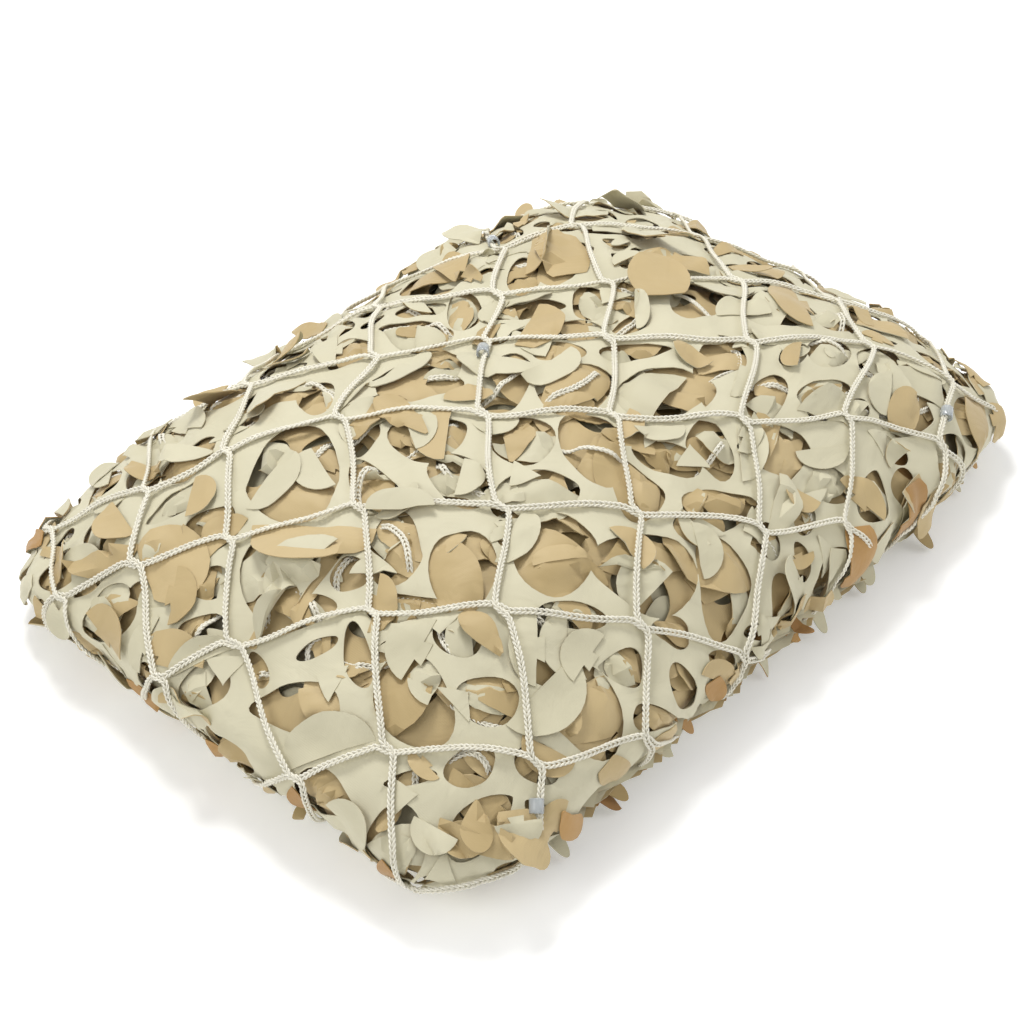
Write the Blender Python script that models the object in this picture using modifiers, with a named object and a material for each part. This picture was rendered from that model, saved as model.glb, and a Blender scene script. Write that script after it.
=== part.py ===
"""Folded camouflage net: a leaf-cut cloth folded back and forth into a crowned bundle, the corded
support net that lies over it, and four small clips on the cords.

Metres, +Z up. X runs along the bundle's long side, Y along its short side, and the origin is under
the middle of the bundle, on the surface that it rests on.
"""
import math
import random

import bmesh
import bpy
from mathutils import Matrix, Vector
from mathutils.bvhtree import BVHTree

# ---- the bundle's own size ----
HALF_LENGTH = 0.294        # to the folds, along X
HALF_WIDTH = 0.210         # to the cut edges, along Y
CROWN_HEIGHT = 0.135       # top of the cloth at the middle
RIM_HEIGHT = 0.058         # height of the top layer where the bundle ends
CORNER_DRAW = 0.105        # how much the corners are drawn in, as a share
CORNER_POWER = 5           # how suddenly they are drawn in
OUTLINE_POWER = 6.0        # squareness of the outline seen from above
CROWN_ROUNDNESS = 4.5      # squareness of the crown's own contours
CROWN_SPREAD = 3.1         # flatness of the crown's middle
UNDERSIDE_FLAT = 0.80      # share of the underside that lies flat
UNDERSIDE_LIFT = 0.006     # how far its rim is off the surface
BELLY = 0.035              # share by which the top and bottom layers are shorter than the middle one

# ---- the cloth ----
SHEET = 0.0020             # thickness
LAYERS = 9
FOLD_ARC = 0.012           # cloth taken up by one fold, laid flat
FOLD_STEPS = 4
FOLD_ROOM = 0.004          # length that the folds take beyond the layers
PANEL = 2 * HALF_LENGTH    # cloth in one layer, laid flat
STRIP = LAYERS * PANEL + (LAYERS - 1) * FOLD_ARC
COLUMNS = 12               # facets along one layer
EDGE_BAND = 0.80           # rows past this one have every column, the middle every other one
MAIN_ROWS = (-EDGE_BAND, -0.42, 0.0, 0.42, EDGE_BAND)
TOP_ROWS = (-0.92, -0.62, 0.62, 0.92)
RIPPLE = 0.0007            # unevenness of each layer
RIPPLE_ALONG = 17.0        # its turns along X and Y, in radians a metre
RIPPLE_ACROSS = 21.0
RIPPLE_SHIFT = 2.0         # and what each layer's are shifted by
DAG_REACH = 0.009          # how far the leaf tips stand out of a cut edge
DAG_DROOP = 0.0008         # and how far they hang
EDGE_ROW = 0.985           # rows past this one are the cut edge
FINEST = 0.0025            # points nearer to each other than this are made one

# ---- the leaf cuts: a crescent opening round a half-moon leaf that stays hinged to the web ----
LEAF_LENGTH = 0.0275       # half the oval's long axis
LEAF_WIDTH = 0.0235        # half its short axis
LEAF_TIP = 0.15            # where the leaf's free edge runs, as a share of the short axis
LEAF_BULGE = 0.30          # how far that edge bows out
LEAF_DROOP = 0.50          # how far it hangs, as a share of the room under it
LEAF_ROOM = 0.0015         # air that is left between the leaf and the next layer
LEAF_HINGE = -0.6          # the hinge that it hangs from, as a share of the short axis
LEAF_BODY = 0.80           # share of the oval that the leaf takes, squared
OUTER_POINTS = 8
INNER_POINTS = 3
# layer, openings along X, along Y, margin at the ends, margin at the sides, droop
LEAF_ROWS = (
    {"layer": LAYERS - 1, "along": 8, "across": 6, "end": 0.042, "side": 0.037, "droop": LEAF_DROOP},
    {"layer": LAYERS - 2, "along": 6, "across": 4, "end": 0.060, "side": 0.052, "droop": 0.0},
    {"layer": 0, "along": 7, "across": 4, "end": 0.056, "side": 0.056, "droop": 0.0},
)
LEAF_JITTER = 0.0030
LEAF_SEED = 11

# ---- the support net ----
MESH_PITCH = 0.080         # knot to knot
CORD = 0.0050              # cord width
CORD_STEPS = 5             # stretches between two knots
CORD_GAP = 0.0009          # air between cord and cloth
NET_TURN = math.radians(-44.8)
NET_SHIFT = (0.017, -0.076)
NET_HEM = 0.026            # height at which its cords tuck under the rim
NET_SIDE_REACH = 0.011     # it hangs clear of the leaf tips at the cut edges
NET_END_REACH = 0.0015     # and of the folds
NET_CELLS = 7              # cells laid out each way from the middle
REST_ROUNDS = 12           # rounds in which the cords are pushed clear of the cloth
MARCH = 0.002              # step with which the drape is measured

# ---- the clips: name, cord counted from the middle, stretch of it counted the same way ----
CLIPS = (
    {"name": "clip_a", "cord": -1, "stretch": -17},
    {"name": "clip_b", "cord": -1, "stretch": 4},
    {"name": "clip_c", "cord": -1, "stretch": 16},
    {"name": "clip_d", "cord": 3, "stretch": 2},
)
CLIP_INNER = 0.0034
CLIP_WALL = 0.0016
CLIP_LENGTH = 0.0075
CLIP_WRAP = math.radians(220)
CLIP_STEPS = 8

COLOURS = {
    "garnish": (0.62, 0.57, 0.45, 0.82),
    "support_net": (0.80, 0.77, 0.66, 0.75),
    "clip": (0.85, 0.86, 0.86, 0.30),
}


def clearScene():
    for thing in list(bpy.data.objects):
        bpy.data.objects.remove(thing, do_unlink=True)


def newCollection(name):
    group = bpy.data.collections.new(name)
    bpy.context.scene.collection.children.link(group)
    return group


def material(name, key):
    red, green, blue, rough = COLOURS[key]
    finish = bpy.data.materials.new(name)
    finish.use_nodes = True
    shader = finish.node_tree.nodes["Principled BSDF"]
    shader.inputs["Base Color"].default_value = (red, green, blue, 1.0)
    shader.inputs["Roughness"].default_value = rough
    shader.inputs["Metallic"].default_value = 0.0
    return finish


# ---- the bundle's surfaces ----

def contour(x, y):
    """0 in the middle, 1 at the rim."""
    across = (abs(x) / HALF_LENGTH) ** CROWN_ROUNDNESS
    along = (abs(y) / HALF_WIDTH) ** CROWN_ROUNDNESS
    return (across + along) ** (1.0 / CROWN_ROUNDNESS)


def crownHeight(x, y):
    fall = contour(x, y) ** CROWN_SPREAD
    return RIM_HEIGHT + (CROWN_HEIGHT - SHEET / 2 - RIM_HEIGHT) * (1.0 - fall)


def undersideHeight(x, y):
    rise = max((contour(x, y) - UNDERSIDE_FLAT) / (1.0 - UNDERSIDE_FLAT), 0.0)
    return SHEET / 2 + UNDERSIDE_LIFT * rise * rise


def layerPoint(layer, u, v):
    """Middle of the cloth of one layer, with u and v from -1 to 1 along X and Y."""
    height = layer / (LAYERS - 1)
    belly = 1.0 - BELLY * (2.0 * height - 1.0) ** 2
    x = (HALF_LENGTH - FOLD_ROOM) * belly * u * (1.0 - CORNER_DRAW * abs(v) ** CORNER_POWER)
    y = HALF_WIDTH * belly * v * (1.0 - CORNER_DRAW * abs(u) ** CORNER_POWER)
    column = round((u + 1.0) / 2.0 * COLUMNS)
    isTip = abs(v) > EDGE_ROW and (column + layer) % 2 and 0 < column < COLUMNS
    if isTip:
        y += math.copysign(DAG_REACH, v)
    low = undersideHeight(x, y)
    z = low + (crownHeight(x, y) - low) * height
    if 0 < layer < LAYERS - 1:
        shift = RIPPLE_SHIFT * layer
        z += RIPPLE * math.sin(RIPPLE_ALONG * x + shift) * math.cos(RIPPLE_ACROSS * y - shift)
        z -= DAG_DROOP if isTip else 0.0
    return Vector((x, y, z))


def middlePoint(s, v):
    """Middle of the cloth at s along the strip."""
    unit = PANEL + FOLD_ARC
    layer = min(int(s / unit), LAYERS - 1)
    rest = s - layer * unit
    heading = 1.0 if layer % 2 == 0 else -1.0
    if rest <= PANEL or layer == LAYERS - 1:
        return layerPoint(layer, heading * (2.0 * rest / PANEL - 1.0), v)
    turn = math.pi * (rest - PANEL) / FOLD_ARC
    below = layerPoint(layer, heading, v)
    above = layerPoint(layer + 1, heading, v)
    half = (above - below) / 2
    reach = Vector((heading * half.length, 0.0, 0.0))
    return (below + above) / 2 - half * math.cos(turn) + reach * math.sin(turn)


# ---- the leaf cuts ----

def leafSites():
    """Places of the openings on the flat strip, with the way each leaf points."""
    draw = random.Random(LEAF_SEED)
    sites = []
    for row in LEAF_ROWS:
        start = row["layer"] * (PANEL + FOLD_ARC)
        stepAlong = (PANEL - 2 * row["end"]) / (row["along"] - 0.5)
        stepAcross = (2 * HALF_WIDTH - 2 * row["side"]) / (row["across"] - 1)
        for j in range(row["across"]):
            for i in range(row["along"]):
                s = start + row["end"] + stepAlong * (i + 0.5 * (j % 2))
                y = -HALF_WIDTH + row["side"] + stepAcross * j
                s += draw.uniform(-LEAF_JITTER, LEAF_JITTER)
                y += draw.uniform(-LEAF_JITTER, LEAF_JITTER)
                turn = math.radians(90.0 * ((i + j) % 2) + draw.uniform(-28.0, 28.0))
                turn += math.pi * draw.randint(0, 1)
                grow = draw.uniform(0.88, 1.04)
                sites.append({"s": s, "y": y, "turn": turn, "grow": grow, "droop": row["droop"]})
    return sites


def crescent(site):
    """Outline of one opening: round the oval, then back along the leaf's bowed free edge."""
    points = []
    reach = math.pi - math.asin(LEAF_TIP)
    for n in range(OUTER_POINTS):
        angle = -math.asin(LEAF_TIP) + (reach + math.asin(LEAF_TIP)) * n / (OUTER_POINTS - 1)
        points.append((LEAF_LENGTH * math.cos(angle), LEAF_WIDTH * math.sin(angle)))
    for n in range(1, INNER_POINTS + 1):
        share = n / (INNER_POINTS + 1)
        x = -LEAF_LENGTH * math.cos(math.asin(LEAF_TIP)) * (1.0 - 2.0 * share)
        y = LEAF_WIDTH * (-LEAF_TIP + LEAF_BULGE * math.sin(math.pi * share))
        points.append((x, y))
    cosine, sine = math.cos(site["turn"]), math.sin(site["turn"])
    grown = [(site["grow"] * x, site["grow"] * y) for x, y in points]
    return [(site["s"] + x * cosine - y * sine, site["y"] + x * sine + y * cosine) for x, y in grown]


def leafDroop(s, y, sites):
    """How far a point of the flat strip hangs, as part of a leaf."""
    for site in sites:
        if not site["droop"]:
            continue
        ds, dy = s - site["s"], y - site["y"]
        cosine, sine = math.cos(site["turn"]), math.sin(site["turn"])
        x = (ds * cosine + dy * sine) / (site["grow"] * LEAF_LENGTH)
        w = (-ds * sine + dy * cosine) / (site["grow"] * LEAF_WIDTH)
        if x * x + w * w < LEAF_BODY and w < LEAF_BULGE:
            return site["droop"] * max((w - LEAF_HINGE) * (1.0 - x * x), 0.0)
    return 0.0


def roomBelow(s, v):
    """Air between a point of the top layer and the layer under it."""
    top = middlePoint(s, v)
    low = undersideHeight(top.x, top.y)
    spacing = (top.z - low) / (LAYERS - 1)
    return max(spacing - SHEET - LEAF_ROOM, 0.0)


def flatStrip(group):
    """The whole cloth before folding: one long slab with its openings cut through."""
    body = bmesh.new()
    bmesh.ops.create_cube(body, size=1.0)
    bmesh.ops.scale(body, vec=(STRIP, 2.0 * HALF_WIDTH, SHEET), verts=body.verts)
    bmesh.ops.translate(body, vec=(STRIP / 2, 0.0, 0.0), verts=body.verts)
    mesh = bpy.data.meshes.new("flat_strip")
    body.to_mesh(mesh)
    body.free()
    strip = bpy.data.objects.new("flat_strip", mesh)
    group.objects.link(strip)
    return strip


def leafCutter(sites, group):
    body = bmesh.new()
    for site in sites:
        ring = [body.verts.new((x, y, -3 * SHEET)) for x, y in crescent(site)]
        face = body.faces.new(ring)
        grown = bmesh.ops.extrude_face_region(body, geom=[face])
        raised = [item for item in grown["geom"] if isinstance(item, bmesh.types.BMVert)]
        bmesh.ops.translate(body, vec=(0.0, 0.0, 6 * SHEET), verts=raised)
    bmesh.ops.recalc_face_normals(body, faces=body.faces)
    mesh = bpy.data.meshes.new("leaf_cutter")
    body.to_mesh(mesh)
    body.free()
    cutter = bpy.data.objects.new("leaf_cutter", mesh)
    group.objects.link(cutter)
    cutter.hide_render = True
    cutter.display_type = "WIRE"
    return cutter


def evaluatedMesh(thing):
    bpy.context.view_layer.update()
    view = bpy.context.evaluated_depsgraph_get()
    return bpy.data.meshes.new_from_object(thing.evaluated_get(view))


def sliceFaces(body, faces, point, normal):
    edges = {edge for face in faces for edge in face.edges}
    verts = {vert for face in faces for vert in face.verts}
    bmesh.ops.bisect_plane(body, geom=list(verts) + list(edges) + list(faces), dist=1e-6,
                           plane_co=point, plane_no=normal)


def edgeBandFaces(body):
    return [face for face in body.faces
            if abs(face.calc_center_median().y) > EDGE_BAND * HALF_WIDTH]


def subdivideStrip(body):
    """Rows and columns of facets, so that the strip can bend where its layers and folds do."""
    unit = PANEL + FOLD_ARC
    for row in MAIN_ROWS:
        sliceFaces(body, body.faces[:], (0, row * HALF_WIDTH, 0), (0, 1, 0))
    for layer in range(LAYERS):
        start = layer * unit
        for column in range(COLUMNS + 1):
            isWhole = layer in (0, LAYERS - 1) or column % 2 == 0 or column in (1, COLUMNS - 1)
            faces = body.faces[:] if isWhole else edgeBandFaces(body)
            sliceFaces(body, faces, (start + PANEL * column / COLUMNS, 0, 0), (1, 0, 0))
        if layer < LAYERS - 1:
            for step in range(1, FOLD_STEPS):
                bend = start + PANEL + FOLD_ARC * step / FOLD_STEPS
                sliceFaces(body, body.faces[:], (bend, 0, 0), (1, 0, 0))
    for row in TOP_ROWS:
        faces = [face for face in body.faces if face.calc_center_median().x > start]
        sliceFaces(body, faces, (0, row * HALF_WIDTH, 0), (0, 1, 0))


def makeGarnish(parts, tools):
    sites = leafSites()
    strip = flatStrip(tools)
    cutter = leafCutter(sites, tools)
    cut = strip.modifiers.new("leaves", "BOOLEAN")
    cut.operation = "DIFFERENCE"
    cut.object = cutter
    mesh = evaluatedMesh(strip)
    bpy.data.objects.remove(strip, do_unlink=True)
    body = bmesh.new()
    body.from_mesh(mesh)
    sides = [face for face in body.faces if face.normal.z < 0.5]
    bmesh.ops.delete(body, geom=sides, context="FACES")
    subdivideStrip(body)
    bmesh.ops.remove_doubles(body, verts=body.verts, dist=FINEST)
    crowded = [face for face in body.faces if len(face.verts) > 4]
    bmesh.ops.triangulate(body, faces=crowded, ngon_method="BEAUTY")
    for vert in body.verts:
        s, v = vert.co.x, vert.co.y / HALF_WIDTH
        droop = leafDroop(s, vert.co.y, sites)
        fall = droop * roomBelow(s, v) if droop else 0.0
        vert.co = middlePoint(s, v) - Vector((0.0, 0.0, fall))
    # the layers bend alike, so the shorter diagonal runs the same way in each
    bmesh.ops.triangulate(body, faces=body.faces, quad_method="SHORT_EDGE")
    body.to_mesh(mesh)
    body.free()
    mesh.name = "garnish"
    mesh.materials.clear()
    mesh.materials.append(material("coated_cloth", "garnish"))
    garnish = bpy.data.objects.new("garnish", mesh)
    parts.objects.link(garnish)
    thick = garnish.modifiers.new("thickness", "SOLIDIFY")
    thick.thickness = SHEET
    thick.offset = 0.0
    return garnish


# ---- the support net ----

def outlineReach(angle):
    """Distance from the middle to the net's side, seen from above."""
    across = (abs(math.cos(angle)) / (HALF_LENGTH + NET_END_REACH)) ** OUTLINE_POWER
    along = (abs(math.sin(angle)) / (HALF_WIDTH + NET_SIDE_REACH)) ** OUTLINE_POWER
    return (across + along) ** (-1.0 / OUTLINE_POWER)


def drapedPoint(s, t):
    """Carry a point of the flat net outwards over the crown, and down the side past the rim."""
    angle = math.atan2(t, s)
    left = math.hypot(s, t)
    reach = outlineReach(angle)
    cosine, sine = math.cos(angle), math.sin(angle)
    radius = 0.0
    height = crownHeight(0.0, 0.0)
    while radius < reach:
        ahead = min(radius + MARCH, reach)
        rise = crownHeight(ahead * cosine, ahead * sine)
        stretch = math.hypot(ahead - radius, rise - height)
        if stretch >= left:
            share = left / stretch
            radius += (ahead - radius) * share
            height += (rise - height) * share
            return Vector((radius * cosine, radius * sine, height))
        left -= stretch
        radius, height = ahead, rise
    return Vector((reach * cosine, reach * sine, height - left))


def outwardFrom(s, t):
    near = 0.002
    alongS = drapedPoint(s + near, t) - drapedPoint(s - near, t)
    alongT = drapedPoint(s, t + near) - drapedPoint(s, t - near)
    return alongS.cross(alongT).normalized()


def flatPlace(key):
    """Where a point of the net lies on the flat cloth, along the bundle's X and Y."""
    p = (key[0] / CORD_STEPS + 0.5) * MESH_PITCH + NET_SHIFT[0]
    q = (key[1] / CORD_STEPS + 0.5) * MESH_PITCH + NET_SHIFT[1]
    cosine, sine = math.cos(NET_TURN), math.sin(NET_TURN)
    return p * cosine - q * sine, p * sine + q * cosine


def netPoints():
    """Points of the cords: a grid of knots with CORD_STEPS stretches from one to the next."""
    points = {}
    count = NET_CELLS * CORD_STEPS
    lift = SHEET / 2 + CORD / 2 + CORD_GAP
    for i in range(-count, count + 1):
        for j in range(-count, count + 1):
            if i % CORD_STEPS and j % CORD_STEPS:
                continue
            flat = flatPlace((i, j))
            place = drapedPoint(*flat) + outwardFrom(*flat) * lift
            if place.z > NET_HEM:
                points[(i, j)] = place
    links = [(here, there) for here in points for there in nextOnCord(here) if there in points]
    kept = largestPiece(points, links)
    return {key: points[key] for key in sorted(kept)}


def nextOnCord(here):
    i, j = here
    ahead = []
    if j % CORD_STEPS == 0:
        ahead.append((i + 1, j))
    if i % CORD_STEPS == 0:
        ahead.append((i, j + 1))
    return ahead


def largestPiece(points, links):
    """Leaves out short cord ends that meet no knot of the rest."""
    near = {key: [] for key in points}
    for first, second in links:
        near[first].append(second)
        near[second].append(first)
    best = set()
    unseen = set(points)
    while unseen:
        found = {min(unseen)}
        front = list(found)
        while front:
            for key in near[front.pop()]:
                if key not in found:
                    found.add(key)
                    front.append(key)
        unseen -= found
        if len(found) > len(best):
            best = found
    return best


def restOnCloth(points, cloth):
    """Push the cords out wherever they come too near to the cloth."""
    body = bmesh.new()
    body.from_mesh(evaluatedMesh(cloth))
    tree = BVHTree.FromBMesh(body)
    body.free()
    room = CORD / 2 + CORD_GAP
    out = {key: outwardFrom(*flatPlace(key)) for key in points}
    for _ in range(REST_ROUNDS):
        for here in points:
            for there in nextOnCord(here):
                if there not in points:
                    continue
                for share in (0.0, 0.5, 1.0):
                    place = points[here].lerp(points[there], share)
                    lack = room - tree.find_nearest(place)[3]
                    if lack > 0.0:
                        points[here] = points[here] + out[here] * (lack * (1.0 - share))
                        points[there] = points[there] + out[there] * (lack * share)


def cordTubes(lines, name, group):
    """One tube for each line of points, as a mesh with its ends closed."""
    curve = bpy.data.curves.new(name, "CURVE")
    curve.dimensions = "3D"
    curve.bevel_depth = CORD / 2
    curve.bevel_resolution = 0
    curve.use_fill_caps = True
    for line in lines:
        spline = curve.splines.new("POLY")
        spline.points.add(len(line) - 1)
        for point, place in zip(spline.points, line):
            point.co = (*place, 1.0)
    holder = bpy.data.objects.new(name, curve)
    group.objects.link(holder)
    mesh = evaluatedMesh(holder)
    bpy.data.objects.remove(holder, do_unlink=True)
    body = bmesh.new()
    body.from_mesh(mesh)
    bmesh.ops.remove_doubles(body, verts=body.verts, dist=1e-6)
    bmesh.ops.recalc_face_normals(body, faces=body.faces)
    body.to_mesh(mesh)
    body.free()
    tubes = bpy.data.objects.new(name, mesh)
    group.objects.link(tubes)
    return tubes


def cordLines(points, alongFirst):
    """The runs of points that belong to one cord."""
    lines = {}
    for i, j in sorted(points):
        key, place = (j, i) if alongFirst else (i, j)
        if key % CORD_STEPS == 0:
            lines.setdefault(key, []).append(place)
    runs = []
    for key, places in lines.items():
        run = []
        for place in sorted(places):
            if run and place != run[-1] + 1:
                runs.append((key, run))
                run = []
            run.append(place)
        runs.append((key, run))
    return [[points[(place, key) if alongFirst else (key, place)] for place in run]
            for key, run in runs if sum(place % CORD_STEPS == 0 for place in run) > 1]


def makeSupportNet(points, parts, tools):
    first = cordTubes(cordLines(points, True), "support_net", parts)
    second = cordTubes(cordLines(points, False), "other_cords", tools)
    second.hide_render = True
    second.display_type = "WIRE"
    join = first.modifiers.new("knots", "BOOLEAN")
    join.operation = "UNION"
    join.object = second
    first.data.materials.append(material("knitted_cord", "support_net"))
    return first


# ---- the clips ----

def makeClip(site, points, parts):
    """A C-shaped band over the cord, open towards the cloth."""
    key = (site["cord"] * CORD_STEPS, site["stretch"])
    low, high = points[key], points[(key[0], key[1] + 1)]
    axis = (high - low).normalized()
    across = axis.cross(outwardFrom(*flatPlace(key))).normalized()
    outward = across.cross(axis)
    profile = [(-CLIP_LENGTH / 2, CLIP_INNER), (CLIP_LENGTH / 2, CLIP_INNER),
               (CLIP_LENGTH / 2, CLIP_INNER + CLIP_WALL), (-CLIP_LENGTH / 2, CLIP_INNER + CLIP_WALL)]
    body = bmesh.new()
    start = Matrix.Rotation(-CLIP_WRAP / 2, 3, "X")
    section = body.faces.new([body.verts.new(start @ Vector((x, 0.0, z))) for x, z in profile])
    bmesh.ops.spin(body, geom=[section], cent=(0, 0, 0), axis=(1, 0, 0), angle=CLIP_WRAP,
                   steps=CLIP_STEPS, use_duplicate=False)
    frame = Matrix((axis, -across, outward)).transposed().to_4x4()
    frame.translation = (low + high) / 2
    bmesh.ops.transform(body, matrix=frame, verts=body.verts)
    bmesh.ops.recalc_face_normals(body, faces=body.faces)
    mesh = bpy.data.meshes.new(site["name"])
    body.to_mesh(mesh)
    body.free()
    mesh.materials.append(material("clear_plastic_" + site["name"][-1], "clip"))
    clip = bpy.data.objects.new(site["name"], mesh)
    parts.objects.link(clip)
    return clip


def main():
    clearScene()
    parts = newCollection("camouflage_net")
    tools = newCollection("cutters")
    garnish = makeGarnish(parts, tools)
    points = netPoints()
    restOnCloth(points, garnish)
    makeSupportNet(points, parts, tools)
    for site in CLIPS:
        makeClip(site, points, parts)


main()
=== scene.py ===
# Folded leaf-cut camouflage net: pale and tan coated cloth in several layers under a corded support net.
# Metres, +Z up. Every sheet, leaf and cord is first laid out flat, with its height over the cloth as z,
# and then wrapped over the crowned bundle.
import math
import random

import bmesh
import bpy
import numpy as np
from mathutils import Matrix, Vector


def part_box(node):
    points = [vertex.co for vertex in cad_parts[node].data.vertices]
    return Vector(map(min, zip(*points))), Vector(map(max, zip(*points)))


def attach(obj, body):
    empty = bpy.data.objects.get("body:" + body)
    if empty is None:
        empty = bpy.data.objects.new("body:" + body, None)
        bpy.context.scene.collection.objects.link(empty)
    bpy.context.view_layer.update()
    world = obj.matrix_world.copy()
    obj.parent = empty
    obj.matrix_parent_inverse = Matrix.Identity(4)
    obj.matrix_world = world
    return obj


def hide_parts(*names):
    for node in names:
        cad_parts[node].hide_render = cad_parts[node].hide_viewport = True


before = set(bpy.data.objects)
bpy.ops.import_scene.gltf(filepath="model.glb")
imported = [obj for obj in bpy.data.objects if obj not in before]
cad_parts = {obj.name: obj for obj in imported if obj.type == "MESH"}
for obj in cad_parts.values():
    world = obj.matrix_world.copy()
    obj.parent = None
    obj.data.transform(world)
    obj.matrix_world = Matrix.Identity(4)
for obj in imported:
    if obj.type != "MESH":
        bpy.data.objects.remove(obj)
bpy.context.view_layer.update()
clothLow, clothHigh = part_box("garnish")

bundle = {
    "halfLength": clothHigh.x,
    "halfWidth": clothHigh.y - 0.0094,   # without the leaf tips
    "crown": clothHigh.z - 0.0012,
    "rim": 0.058,
    "contourPower": 4.5,
    "outlinePower": 8.0,
    "spread": 3.1,
    "rollRadius": 0.016,                 # how the cloth turns down at the rim
    "tuckHeight": 0.046,                 # and in again near the surface that it lies on
    "tuckRadius": 0.040,
    "cornerRadius": 0.014,
    "cornerLift": 0.012,                 # the corners curl up from it
    "stride": 0.002,
    "strides": 250,
    "lump": 0.0022,
    "floorGap": 0.0007,
}

# the photo's camera, in pixels of the 1024 frame where it says so
photoView = {
    "azimuth": math.radians(-48.35),
    "elevation": math.radians(39.88),
    "distance": 1.4136,
    "aimHeight": 0.064,
    "focalPixels": 2138.7,
    "shiftRightPixels": 18.6,
    "shiftUpPixels": 55.5,
    "frame": 1024,
}

# the support net's knots, as pixels of the photo, by row from the far side and by column from the left
knotPixels = {
    0: {4: (412, 283), 5: (497, 248), 6: (572, 224), 7: (693, 233)},
    1: {3: (302, 349), 4: (397, 312), 5: (497, 293), 6: (605, 281), 7: (734, 278), 8: (869, 299)},
    2: {3: (246, 383), 4: (370, 354), 5: (484, 339), 6: (609, 337), 7: (750, 341), 8: (868, 343),
        9: (975, 370)},
    3: {2: (145, 489), 3: (226, 450), 4: (338, 415), 5: (478, 411), 6: (613, 414), 7: (746, 421),
        8: (848, 416), 9: (942, 443)},
    4: {1: (60, 598), 2: (130, 563), 3: (226, 540), 4: (359, 506), 5: (499, 505), 6: (633, 509),
        7: (763, 528), 8: (849, 528)},
    5: {2: (158, 680), 3: (229, 644), 4: (370, 612), 5: (502, 610), 6: (640, 625), 7: (745, 657)},
    6: {3: (293, 782), 4: (383, 748), 5: (538, 762), 6: (651, 745)},
}

lattice = {
    "pitch": 0.080,
    "turn": math.radians(-44.8),
    "shift": (0.017, -0.076),
    "midColumn": 5.5,
    "midRow": 3.5,
    "columns": range(-2, 14),
    "rows": range(-4, 12),
    "reach": 0.045,        # a knot read from the photo lies no further than this from the even lattice
}


def smooth(value):
    value = np.clip(value, 0.0, 1.0)
    return value * value * (3.0 - 2.0 * value)


# ---- the crowned bundle, as a cloth that is wrapped over it ----

def crownHeight(x, y):
    power = bundle["contourPower"]
    across = (np.abs(x) / bundle["halfLength"]) ** power
    along = (np.abs(y) / bundle["halfWidth"]) ** power
    fall = (across + along) ** (bundle["spread"] / power)
    return bundle["rim"] + (bundle["crown"] - bundle["rim"]) * (1.0 - fall)


def outlineReach(angle):
    power = bundle["outlinePower"]
    across = (np.abs(np.cos(angle)) / bundle["halfLength"]) ** power
    along = (np.abs(np.sin(angle)) / bundle["halfWidth"]) ** power
    return (across + along) ** (-1.0 / power)


def layOutDrape():
    # radius and height for each angle, by length of cloth from the middle
    angles = np.linspace(0.0, 2.0 * math.pi, 361)
    cosine, sine = np.cos(angles), np.sin(angles)
    stride = bundle["stride"]
    edge = outlineReach(angles) - 0.3 * bundle["rollRadius"]
    radius = np.zeros_like(angles)
    height = np.full_like(angles, crownHeight(0.0, 0.0))
    tilt = np.zeros_like(angles)
    isPast = np.zeros(angles.shape, bool)
    rimLength = np.zeros_like(angles)
    corner = np.abs(edge * cosine / bundle["halfLength"] * edge * sine / bundle["halfWidth"]) ** 3
    corner = np.minimum(corner / corner.max(), 1.0)
    lowest = bundle["tuckHeight"] + bundle["cornerLift"] * corner
    tuckRadius = bundle["tuckRadius"] * (1.0 - corner) + bundle["cornerRadius"] * corner
    furthest = (0.97 - 0.17 * corner) * math.pi
    radii, heights = [radius.copy()], [height.copy()]
    for step in range(bundle["strides"]):
        ahead = crownHeight((radius + stride) * cosine, (radius + stride) * sine)
        slope = np.arctan2(crownHeight(radius * cosine, radius * sine) - ahead, stride)
        isNew = (radius >= edge) & ~isPast
        rimLength[isNew] = step * stride
        isPast |= isNew
        roll = np.minimum(tilt + stride / bundle["rollRadius"], math.pi / 2)
        tuck = np.minimum(tilt + stride / tuckRadius, furthest)
        past = np.where((height < lowest) & (tilt > 0.48 * math.pi), tuck, roll)
        tilt = np.where(isPast, past, slope)
        radius = radius + stride * np.cos(tilt)
        height = height - stride * np.sin(tilt)
        radii.append(radius.copy())
        heights.append(height.copy())
    return {"angles": angles, "radii": np.array(radii), "heights": np.array(heights),
            "rimLength": rimLength}


drape = layOutDrape()


def fromTable(table, s, t):
    turn = (np.arctan2(t, s) % (2.0 * math.pi)) / (2.0 * math.pi) * (len(drape["angles"]) - 1)
    length = np.hypot(s, t) / bundle["stride"]
    column = np.clip(turn.astype(int), 0, len(drape["angles"]) - 2)
    row = np.clip(length.astype(int), 0, len(table) - 2)
    across, down = turn - column, np.clip(length - row, 0.0, 1.0)
    near = table[row, column] * (1 - across) + table[row, column + 1] * across
    far = table[row + 1, column] * (1 - across) + table[row + 1, column + 1] * across
    return near * (1 - down) + far * down


def rimLengthAt(s, t):
    turn = np.arctan2(t, s) % (2.0 * math.pi)
    return np.interp(turn, drape["angles"], drape["rimLength"])


def onSurface(s, t):
    angle = np.arctan2(t, s)
    radius = fromTable(drape["radii"], s, t)
    height = fromTable(drape["heights"], s, t)
    return np.stack([radius * np.cos(angle), radius * np.sin(angle), height], axis=-1)


def lumps(s, t):
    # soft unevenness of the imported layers, which the sheets and the cords share
    wide = np.sin(41.0 * s + 13.0 * t + 0.6) * np.sin(17.0 * s - 47.0 * t + 1.9)
    close = np.sin(88.0 * s - 31.0 * t + 2.7) * np.sin(35.0 * s + 97.0 * t + 0.3)
    return bundle["lump"] * (wide + 0.45 * close - 0.6)


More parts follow.
